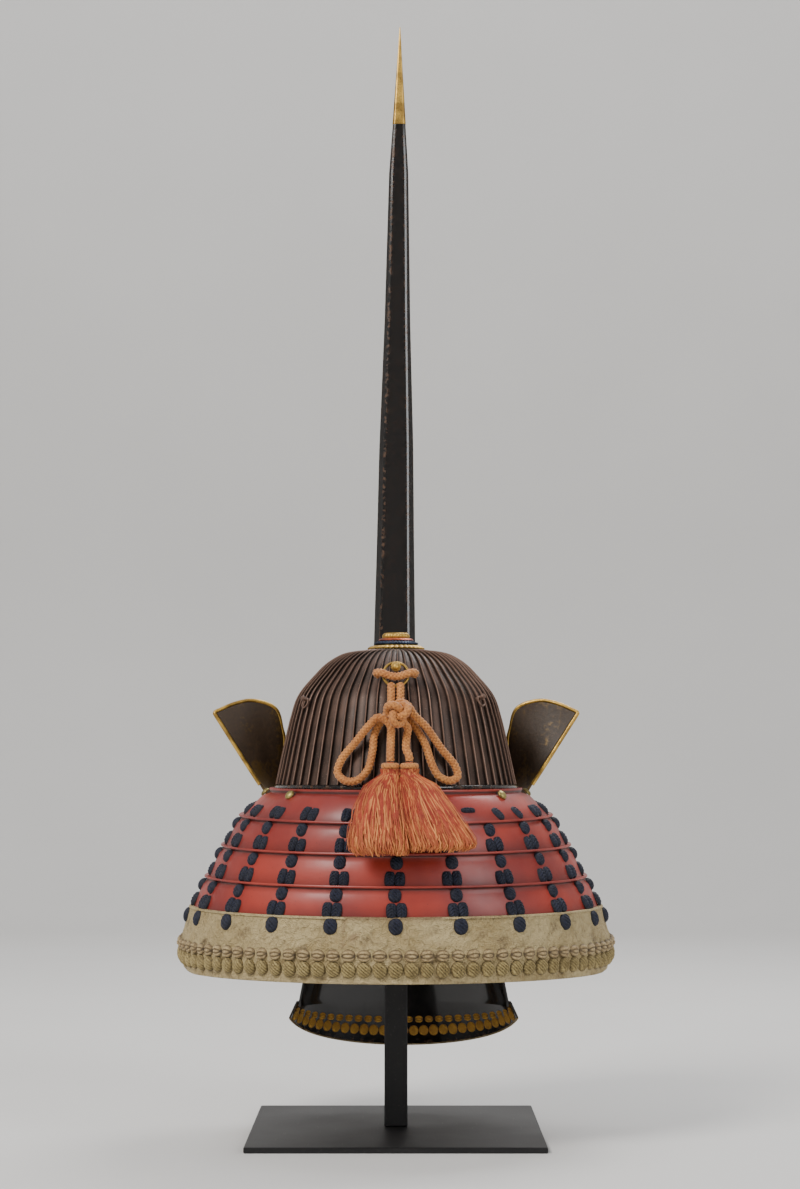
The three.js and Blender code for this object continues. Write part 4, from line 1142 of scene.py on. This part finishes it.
# %% Turned fittings
def turned(parts, profile, origin, axis, steps=48, petals=0, depth=0.0, wear_and_shade=None):
    """Profile pairs (radius, height) round an axis from an origin, with petals in its radius."""
    axis = Vector(axis).normalized()
    side = axis.orthogonal().normalized() if abs(axis.z) < 0.99 else Vector((1, 0, 0))
    up = axis.cross(side)
    sections, rub_and_shade = [], []
    for index, (radius, height) in enumerate(profile):
        ring = []
        for a in around(steps):
            petal = depth * (1 - abs(math.cos(a * petals / 2)) ** 0.7) if petals else 0.0
            spoke = (side * math.cos(a) + up * math.sin(a)) * (radius * (1 - petal))
            ring.append(tuple(Vector(origin) + spoke + axis * height))
        sections.append(ring)
        rub_and_shade += [wear_and_shade[index] if wear_and_shade else 0.5] * steps
    parts.add(sections, rub_and_shade)


def lame_pin(degrees):
    place, radius, height, rows, foot = 0.22, 4.6, 3.2, 7, 0.3
    here, normal, _, _ = spot_on(guard_point, place, degrees, -place * LAME_STEP, None)
    dome = [(max(radius * math.cos(a), 0.05), foot + height * (0.2 + 0.8 * math.sin(a)))
            for a in (math.pi / 2 * k / rows for k in range(rows + 1))]
    parts = Parts()
    turned(parts, [(radius, foot)] + dome, here, normal, steps=28, petals=9, depth=0.07)
    return parts


def centre_of(obj):
    return sum((v.co for v in obj.data.vertices), Vector()) / len(obj.data.vertices)


for index, angle in enumerate((-51, 51, -94, 94), 1):
    pin = lame_pin(angle).build(f"pin_{index}_cast")
    centre = centre_of(pin)
    nearest = min((f"lame_pin_{n}" for n in range(1, 5)),
                  key=lambda node: (centre_of(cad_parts[node]) - centre).length)
    settle(pin, GREEN_GILT, "aged_gilt", nearest)
    print(pin.name, "stands for", nearest)

# Each ring: radius, height, finish, slot, petals and how deep they are cut.
FINIAL_RINGS = {
    "petal_ring": (25.8, 4.0, AGED_GILT, "aged_gilt", 32, 0.07),
    "bead_ring": (19.6, 3.4, BLUE_BEAD, "blue_bead", 0, 0),
    "collar": (15.8, 2.6, COPPER, "copper", 0, 0),
    "cap": (12.6, 4.6, AGED_GILT, "aged_gilt", 20, 0.06),
}
FINIAL_BORE = 8.0
FINIAL_FOOT = 429.3
# Each row of beads: how many, how far out, how high and their radius.
BEAD_ROWS = [(44, 18.9, 1.6, 1.25), (36, 16.2, 2.9, 1.2)]


def finial_ring(name, bottom):
    radius, height, finish, slot, petals, depth = FINIAL_RINGS[name]
    profile = [(FINIAL_BORE, 0), (radius * 0.95, 0), (radius, height * 0.3),
               (radius, height * 0.5), (radius * 0.93, height * 0.8), (radius * 0.84, height),
               (FINIAL_BORE, height), (FINIAL_BORE, 0)]
    parts = Parts()
    turned(parts, profile, (0, 0, bottom), (0, 0, 1), 192, petals, depth,
           [0, 0.3, 1, 1, 0.5, 0.4, 0, 0])
    for count, reach, z, size in BEAD_ROWS if name == "bead_ring" else []:
        bead = [(size * math.sin(b) + 0.02, -size * math.cos(b))
                for b in (math.pi * j / 6 for j in range(7))]
        for a in around(count):
            turned(parts, bead, (math.cos(a) * reach, math.sin(a) * reach, bottom + z),
                   (0, 0, 1), 8, wear_and_shade=[1] * 7)
    settle(parts.build("finial_" + name + "_chased", 35), finish, slot, "finial_" + name)
    return bottom + height + GAP


level = FINIAL_FOOT
for name in FINIAL_RINGS:
    level = finial_ring(name, level)
print("finial top:", round(level - GAP, 1), "mm")

# %% [markdown]
# The ring hangs on the stud and is drawn forward by the cord. Two small iron pegs stand out
# of the bowl at either side. The photograph shows each one with a stub of wire round it.

# %% Stud, ring and pegs
STUD_ORIGIN = (0, -79.2, 410.3)
RING_CENTRE = (0, -91.54, 403.66)
RING_LEAN = math.radians(20)
STUD_SHANK = [(2.2, 0), (2.2, 12.2), (2.0, 12.3)]
STUD_ROSETTE = [(2.2, 12.0), (4.2, 12.6), (4.6, 13.4), (4.3, 14.2), (3.2, 14.6)]
STUD_BUTTON = [(2.9, 14.2), (3.0, 15.0), (2.4, 16.1), (1.2, 16.8), (0.05, 17.0)]
PEG = [(2.4, 0), (1.9, 1.2), (1.8, 7.0), (2.4, 7.4), (2.0, 8.6), (0.05, 9.0)]


def ring_stud():
    parts = Parts()
    for profile, steps, petals, depth, wear_and_shade in (
            (STUD_SHANK, 24, 0, 0.0, None), (STUD_ROSETTE, 72, 12, 0.14, [0, 0.5, 1, 0.7, 0.3]),
            (STUD_BUTTON, 30, 0, 0.0, None)):
        turned(parts, profile, STUD_ORIGIN, (0, -1, 0), steps, petals, depth, wear_and_shade)
    return parts.build("stud_rosette", 40)


def torus(parts, centre, side, up, radius, wire, steps=72, sides=14):
    centre, side, up = Vector(centre), Vector(side), Vector(up)
    normal = side.cross(up).normalized()
    sections = []
    for a in around(steps):
        spoke = side * math.cos(a) + up * math.sin(a)
        sections.append([tuple(centre + spoke * (radius + wire * math.cos(b))
                               + normal * wire * math.sin(b)) for b in around(sides)])
    parts.add(sections, 0.6, loop=True)


def peg(name, degrees, place):
    angle = math.radians(degrees)
    here, out = Vector(bowl_point(place, angle, 0.0)), Vector(bowl_point(place, angle, 1.0))
    normal = (out - here).normalized()
    across = normal.cross(Vector((0, 0, 1))).normalized()
    wire = here + normal * 5.0 - Vector((0, 0, 3.4))
    parts = Parts()
    turned(parts, PEG, here, normal, 16)
    torus(parts, wire, across, normal.cross(across), 4.4, 0.7, 32, 8)
    return settle(parts.build(name, 50), RUSSET_IRON, "russet_iron")


settle(ring_stud(), AGED_GILT, "aged_gilt", "ring_stud")
ring = Parts()
torus(ring, RING_CENTRE, (1, 0, 0), (0, math.sin(RING_LEAN), math.cos(RING_LEAN)), 11.0, 1.2)
settle(ring.build("ring_wire", 60), AGED_GILT, "aged_gilt", "cord_ring")
peg("bowl_peg_left", -58.5, 0.38)
peg("bowl_peg_right", 53.5, 0.39)
print("stud, ring and two pegs built")

# %% [markdown]
# The side flaps are the guard's first lame turned back: leather over iron, with a gilt rim
# that runs round the edge. The surface is ruled from a foot on the lame to a curved head.

# %% Side flaps
# Each column: its foot's angle on the lame, then how far its head lies out, forward and up.
FLAP_COLUMNS = [(122, -0.12, 0.5254, 0.62), (118, 0.02, 0.4831, 0.9), (113, 0.42, 0.4407, 1.0),
                (108, 0.78, 0.3898, 0.975), (104, 1.15, 0.339, 0.885)]
FLAP_OUT = 48
FLAP_RISE = 84
FLAP_WALL = 2.4


def flap_lines(side):
    feet, heads = [], []
    for angle, out, forward, rise in FLAP_COLUMNS:
        foot = guard_point(0.3, angle * side, -0.3 * LAME_STEP + 2 * GAP)
        feet.append(foot)
        heads.append((side * (BOWL_SIZES[0] + 3.4 + out * FLAP_OUT), forward * BOWL_SIZES[1],
                      foot[2] + rise * FLAP_RISE))
    return feet, heads


def flap_at(side):
    feet, heads = flap_lines(side)
    return lambda share, row: Vector(spline(feet, share)).lerp(Vector(spline(heads, share)), row)


def flap_normal(at, share, row):
    s, r = min(share, 0.98), min(row, 0.98)
    normal = (at(s + 0.02, r) - at(s, r)).cross(at(s, r + 0.02) - at(s, r)).normalized()
    return -normal if normal.y < 0 else normal


def side_flap(name, side):
    at = flap_at(side)
    columns, rows = 44, 34
    sections = []
    for c in range(columns + 1):
        share = c / columns
        ring = []
        for r in range(rows + 1):
            row = r / rows
            ripple = 0.22 * math.sin(share * 9 + row * 4) * math.sin(row * 7 + share * 3)
            ring.append(tuple(at(share, row) + flap_normal(at, share, row) * ripple))
        for r in range(rows, -1, -1):
            ring.append(tuple(at(share, r / rows) + flap_normal(at, share, r / rows) * FLAP_WALL))
        sections.append(ring)
    low = [max(0.0, 1 - r / rows * 2.2) for r in range(rows + 1)]
    return swept(name, sections, sharp=50, wear_and_shade=(low + low[::-1]) * (columns + 1))


def flap_rim(name, side, away=1.75, radius=1.8, sides=14):
    """A round wire that keeps off the flap's edge by the distance away."""
    at = flap_at(side)
    up = [(0, 0.05 + 0.93 * k / 12) for k in range(12)]
    over = [(k / 16, 1.0) for k in range(17)]
    down = [(1, 0.98 - 0.93 * k / 12) for k in range(12)]
    points = []
    for share, row in up + over + down:
        outward = Vector()
        if share in (0, 1):
            outward += (at(share, row) - at(0.05 if share == 0 else 0.95, row)).normalized()
        if row == 1:
            outward += (at(share, 1) - at(share, 0.94)).normalized()
        at_corner = outward.length > 1.2
        points.append(at(share, row) + flap_normal(at, share, row) * FLAP_WALL / 2
                      + outward * away * (0.75 if at_corner else 1))
    line, _ = even_steps(centripetal(points, 6), 1.4)
    sections = [[tuple(p + (a * math.cos(t) + b * math.sin(t)) * radius) for t in around(sides)]
                for p, a, b in tube_frames(line)]
    return swept(name, sections, sharp=60, wear_and_shade=[0.6] * (sides * len(line)))


for name, side in (("left", -1), ("right", 1)):
    flap = side_flap(f"flap_{name}_leather", side)
    settle(flap, BROWN_LEATHER, "brown_leather", f"side_flap_{name}")
    edge = flap_rim(f"flap_{name}_gilt", side)
    settle(edge, AGED_GILT, "aged_gilt", f"side_flap_rim_{name}")
print("flaps built")

# %% [markdown]
# The crest is a tall lacquered blade that narrows to a gilt point. It has six sides, and each
# long edge is a narrow bevel where the lacquer has worn to reddish brown. It stands in a
# gilt socket on the bowl's front.

# %% Crest and socket
# Shares of the crest's height, width and depth from its foot to its tip.
CREST_SECTIONS = [(0, 1, 1), (0.15, 0.97, 0.95), (0.3, 0.87, 0.84), (0.43, 0.8, 0.76),
                  (0.6, 0.614, 0.62), (0.8, 0.47, 0.5), (1, 0.02, 0.04)]
CREST_HALF = (21.5, 8.5)
CREST_LEAN = (6.3, 14)
CREST_CORNERS = [(-0.66, -1), (0.66, -1), (1, 0), (0.66, 1), (-0.66, 1), (-1, 0)]
CREST_FOOT = (-2.7, 131.93, 317.0)
CREST_HEIGHT = 735.0
CREST_JOINT = 1 - 98 / CREST_HEIGHT


def crest_size(height):
    k = max(i for i in range(len(CREST_SECTIONS) - 1) if CREST_SECTIONS[i][0] <= height + 1e-9)
    low, high = CREST_SECTIONS[k], CREST_SECTIONS[k + 1]
    return mix_points(low, high, (height - low[0]) / (high[0] - low[0]))


def crest_ring(height, bevel):
    """A section with each corner cut to a narrow bevel, which is where it is worn."""
    _, width, depth = crest_size(height)
    corners = [(CREST_FOOT[0] + CREST_LEAN[0] * height + CREST_HALF[0] * width * a,
                CREST_FOOT[1] + CREST_LEAN[1] * height + CREST_HALF[1] * depth * b)
               for a, b in CREST_CORNERS]
    ring, rub_and_shade = [], []
    for k, corner in enumerate(corners):
        here = Vector(corner)
        for other in (corners[k - 1], corners[(k + 1) % 6]):
            away = Vector(other) - here
            shift = here + away.normalized() * min(bevel, away.length * 0.3)
            ring.append((shift.x, shift.y, CREST_FOOT[2] + height * CREST_HEIGHT))
            rub_and_shade.append(1.0)
            inner = here + away.normalized() * min(bevel * 2.2, away.length * 0.45)
            ring.append((inner.x, inner.y, ring[-1][2]))
            rub_and_shade.append(0.12)
        ring[-4], ring[-3] = ring[-3], ring[-4]
        rub_and_shade[-4], rub_and_shade[-3] = rub_and_shade[-3], rub_and_shade[-4]
    return ring, rub_and_shade


def crest_part(name, low, high, rows, bevel):
    made = [crest_ring(mix(low, high, r / rows), bevel) for r in range(rows + 1)]
    return swept(name, [ring for ring, _ in made], sharp=20,
                 wear_and_shade=[w for _, rub_and_shade in made for w in rub_and_shade])


blade = crest_part("crest_blade", 0, CREST_JOINT - 0.0004, 90, 1.1)
settle(blade, BLACK_LACQUER, "black_lacquer", "crest_shaft")
settle(crest_part("crest_point", CREST_JOINT, 1, 24, 0.5), AGED_GILT, "aged_gilt", "crest_tip")


def box_ring(half_width, half_depth, z, corner=1.2):
    ring = []
    for sx, sy, start in ((1, 1, 0), (-1, 1, 90), (-1, -1, 180), (1, -1, 270)):
        for k in range(5):
            a = math.radians(start + k * 22.5)
            ring.append((CREST_FOOT[0] + sx * (half_width - corner) + corner * math.cos(a),
                         CREST_FOOT[1] + sy * (half_depth - corner) + corner * math.sin(a), z))
    return ring


def crest_socket():
    """A box with two raised bands, as steps inwards at heights, outside and then inside."""
    outside = [(0.5, 311.0), (0, 311.5), (0, 324.0), (0.4, 324.5), (0.4, 325.3), (0, 325.8),
               (0, 348.0), (0.4, 348.5), (0.4, 349.5), (0, 350.0), (0, 354.4), (0.6, 355.0)]
    inside = [(-0.3, 355.0), (0, 354.6), (0, 316.7)]
    rings = [box_ring(width - step, depth - step, z)
             for width, depth, steps in ((24.68, 12.14, outside), (22.18, 9.64, inside))
             for step, z in steps]
    return swept("socket_box", rings, sharp=40, wear_and_shade=[0.5] * (len(rings[0]) * len(rings)))


settle(crest_socket(), AGED_GILT, "aged_gilt", "crest_socket")
print("crest and socket built")

# %% [markdown]
# The peak is an iron plate that dips forward from the rim to keep off rain and blows. The
# photograph doesn't show it, so it is kept plain: a strip that is widest at the front.

# %% Peak
PEAK_ANGLE = 52
PEAK_REACH = 42
PEAK_DIP = 12
PEAK_WALL = 2.0


def peak():
    columns, rows = 60, 10
    sections = []
    for c in range(columns + 1):
        share = c / columns
        angle = math.radians(180 + mix(-PEAK_ANGLE, PEAK_ANGLE, share))
        taper = math.cos(mix(-1, 1, share) * math.pi * 0.46) ** 0.6
        ring = []
        for under, order in ((0.0, range(rows + 1)), (PEAK_WALL, range(rows, -1, -1))):
            for r in order:
                row = r / rows
                out = 3.7 + row * PEAK_REACH * taper
                ring.append((math.sin(angle) * (BOWL_SIZES[0] + out),
                             -math.cos(angle) * (BOWL_SIZES[1] + out),
                             BOWL_FOOT - GAP - under - PEAK_DIP * row * row * taper))
        sections.append(ring)
    rub_and_shade = [0.1] * rows + [0.9, 0.9] + [0.1] * rows
    return swept("peak_plate", sections, sharp=40, wear_and_shade=rub_and_shade * (columns + 1))


peak_piece = settle(peak(), RUSSET_IRON, "russet_iron", "peak")
print("peak faces:", len(peak_piece.data.polygons))

# %% [markdown]
# The throat guard hangs under the chin: small black lames and a plate with two rows of
# knots. Its inner side faces the camera through the open back, so the knots are set on the
# inside, with the same templates as on the cream plate but in a deeper, brighter gold. Part
# of that brightness is painted light against the shade inside the guard.

# %% Throat guard
# Shares of half width, half depth and drop, from the chin plate down to the last edge.
THROAT_LEVELS = [(0.58, 0.67, 0), (0.67, 0.74, 0.195), (0.77, 0.82, 0.378), (0.86, 0.9, 0.549),
                 (0.935, 0.95, 0.72), (1, 1, 1)]
THROAT_ANGLE = 80
THROAT_SIZES = (107, 78, 164)
THROAT_TOP = (7, 38, 228)


def throat_point(place, degrees, out=0.0, down=0.0):
    k = min(int(place), 4)
    width, depth, drop = mix_points(THROAT_LEVELS[k], THROAT_LEVELS[k + 1], place - k)
    a = math.radians(degrees)
    return (THROAT_TOP[0] + math.sin(a) * (THROAT_SIZES[0] * width + out),
            THROAT_TOP[1] + math.cos(a) * (THROAT_SIZES[1] * depth + out),
            THROAT_TOP[2] - THROAT_SIZES[2] * drop - down)


def throat_lame(name, k):
    inset = -LAME_STEP
    outside = [(0, 0.0, 0.0), (0, 0.4, 0.2), (0, 0.4, 0.5), (0, 0.2, 1.2), (0.5, inset / 2, 0),
               (1, inset, 0), (1, inset, 5)]
    inside = [(1, inset - 2, 5), (1, inset - 2, 0), (0.5, inset / 2 - 2, 0), (0, -2, 0.6),
              (0, -1.8, 0.1)]
    sections = [[throat_point(k + share, degrees, out, down)
                 for share, out, down in outside + inside] for degrees in fan(THROAT_ANGLE, 60)]
    rub_and_shade = [0.8, 1.0, 0.8] + [0.05] * 8 + [0.8]
    face = swept(name + "_face", sections, sharp=50, wear_and_shade=rub_and_shade * len(sections))
    return settle(face, BLACK_LACQUER, "black_lacquer", name)


def throat_plate_point(row, degrees, out):
    lift = 31 * (degrees / THROAT_ANGLE) ** 2 * row
    return throat_point(4 + row, degrees, out, -lift)


def throat_plate():
    rows, sections = 8, []
    for degrees in fan(THROAT_ANGLE, 80):
        outer = [throat_plate_point(r / rows, degrees, -0.15 if r in (0, rows) else 0.0)
                 for r in range(rows + 1)]
        inner = [throat_plate_point(r / rows, degrees, -1.85 if r in (0, rows) else -2.0)
                 for r in range(rows, -1, -1)]
        sections.append(outer + inner)
    rub_and_shade = [0.9] + [0.1] * 7 + [1.0, 1.0] + [0.1] * 7 + [0.9]
    return swept("throat_plate_face", sections, sharp=50, wear_and_shade=rub_and_shade * len(sections))


for k, name in enumerate(["chin_plate", "throat_lame_1", "throat_lame_2", "throat_lame_3"]):
    throat_lame(name, k)
settle(throat_plate(), BLACK_LACQUER, "black_lacquer", "throat_plate")


def inside_spots(row, pitch, size):
    """Knots on the plate's inner face, turned to face inwards."""
    spots = []
    for angle in spaced_angles(throat_plate_point, row, pitch, THROAT_ANGLE - 2):
        here, normal, up, _ = spot_on(throat_plate_point, row, angle, -2.0, None)
        grown = chance.uniform(0.94, 1.05)
        spots.append((here, tuple(-v for v in normal), up, (size, size * grown, size * 0.55)))
    return spots


def edge_binding():
    """The cream leather line along the throat plate's foot, stained at its left end."""
    sides, stained, sections, wear_and_shade = 10, 14, [], []
    for s, degrees in enumerate(fan(THROAT_ANGLE - 1, 120)):
        angle = math.radians(degrees)
        centre = Vector(throat_plate_point(1.0, degrees, -1.0))
        sections.append([tuple(centre + Vector((math.cos(a) * math.sin(angle) * 1.4,
                                                math.cos(a) * math.cos(angle) * 1.4,
                                                math.sin(a) * 0.9))) for a in around(sides)])
        wear_and_shade += [0.9 if s < stained else 0.25] * sides
    return swept("throat_edge_binding", sections, sharp=60, wear_and_shade=wear_and_shade)


for name, shape, row, size in (("lower", BIG_KNOT, 0.72, 0.74), ("upper", FLAT_KNOT, 0.49, 0.68)):
    spots = inside_spots(row, 9.5, size)
    settle(set_on_points("throat_knots_" + name, shape, INSIDE_BRAID_LIT, spots),
           INSIDE_BRAID_LIT, "gold_braid")
settle(edge_binding(), CREAM_LEATHER, "cream_leather")
print("throat guard built")

# %% [markdown]
# The stand is plain black steel: a plate, a square post with its edges broken, and inside
# the helmet a head rest and an arm that carries the throat guard. Those two are hidden, so
# they keep the CAD's own meshes and only get the finish.

# %% Stand
def bevelled_box(name, half, low, high, edge=0.8):
    rings = []
    for inset, z in ((edge, low), (0.0, low + edge), (0.0, high - edge), (edge, high)):
        a, b = half[0] - inset, half[1] - inset
        near, far = a - edge, b - edge
        rings.append([(x, y, z) for x, y in ((a, far), (near, b), (-near, b), (-a, far),
                                             (-a, -far), (-near, -b), (near, -b), (a, -far))])
    return swept(name, rings, sharp=30)


base = bevelled_box("base_plate", (128, 130), 0, 5)
settle(base, BLACK_STEEL, "black_steel", "stand_base")
post_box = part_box("stand_post")
post_low, post_high = post_box[0][2] / MM, post_box[1][2] / MM
post = bevelled_box("post_bar", (10.3, 10.3), post_low, post_high)
settle(post, BLACK_STEEL, "black_steel", "stand_post")
for name in ("stand_head_rest", "stand_arm"):
    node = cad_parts[name]
    node.data.materials.clear()
    node.data.materials.append(BLACK_STEEL)
print("stand built, post from", round(post_low, 1), "to", round(post_high, 1), "mm")

# %% [markdown]
# The floor is a plain pale sheet that curves up all round, as in a photographer's cove, so
# that it looks the same from every side. A large soft lamp stands to the left above the
# camera and a weaker one to the right. One behind lights the edges, one the backdrop.

# %% Stage and light
def cove():
    """Floor and round backdrop as one dish, pale on its inside from every side."""
    steps, floor_reach, bend, top = 72, 2.8, 0.9, 5.0
    profile = [(0.02, 0.0), (1.0, 0.0), (floor_reach, 0.0)]
    profile += [(floor_reach + bend * math.sin(a), bend - bend * math.cos(a))
                for a in (math.pi / 2 * k / 10 for k in range(1, 11))]
    profile.append((floor_reach + bend, top))
    points = [(r * math.cos(a), r * math.sin(a), z) for r, z in profile for a in around(steps)]
    faces = ring_faces(len(profile), steps) + [tuple(range(steps))]
    mesh = bpy.data.meshes.new("cove")
    mesh.from_pydata(points, [], faces)
    mesh.shade_smooth()
    f = Finish("pale paper", Roughness=0.9)
    f.feed("Base Color", f.blend((0.62, 0.61, 0.595), (0.66, 0.65, 0.635), f.noise(3, 2)))
    mesh.materials.append(f.material)
    placed("cove", mesh)


# Each lamp: place, what it points at, width and height in metres, power in watts and colour.
LAMPS = {
    "key": ((-1.4, -1.5, 2.0), (0, 0, 0.35), (0.9, 0.9), 66, (1.0, 0.975, 0.94)),
    "fill": ((1.7, -1.5, 1.2), (0, 0, 0.35), (0.8, 1.2), 24, (0.95, 0.975, 1.0)),
    "edge": ((0.7, 1.3, 2.1), (0, 0, 0.5), (1.2, 0.6), 30, (1.0, 1.0, 1.0)),
    "backdrop": ((0, 1.2, 3.6), (0, 3.6, 1.2), (2.4, 0.8), 60, (1.0, 1.0, 1.0)),
}


def lamp(name, place, target, size, power, colour):
    data = bpy.data.lights.new(name, 'AREA')
    data.shape, data.energy, data.color = 'RECTANGLE', power, colour
    data.size, data.size_y = size
    made = placed(name, data)
    made.location = place
    direction = Vector(target) - Vector(place)
    made.rotation_euler = direction.to_track_quat('-Z', 'Y').to_euler()


cove()
for name, settings in LAMPS.items():
    lamp(name, *settings)
world = bpy.data.worlds.new("world")
bpy.context.scene.world = world
world.use_nodes = True
background = world.node_tree.nodes["Background"]
background.inputs["Color"].default_value = (0.9, 0.93, 1.0, 1.0)
background.inputs["Strength"].default_value = 0.4
print("lamps:", len(LAMPS))
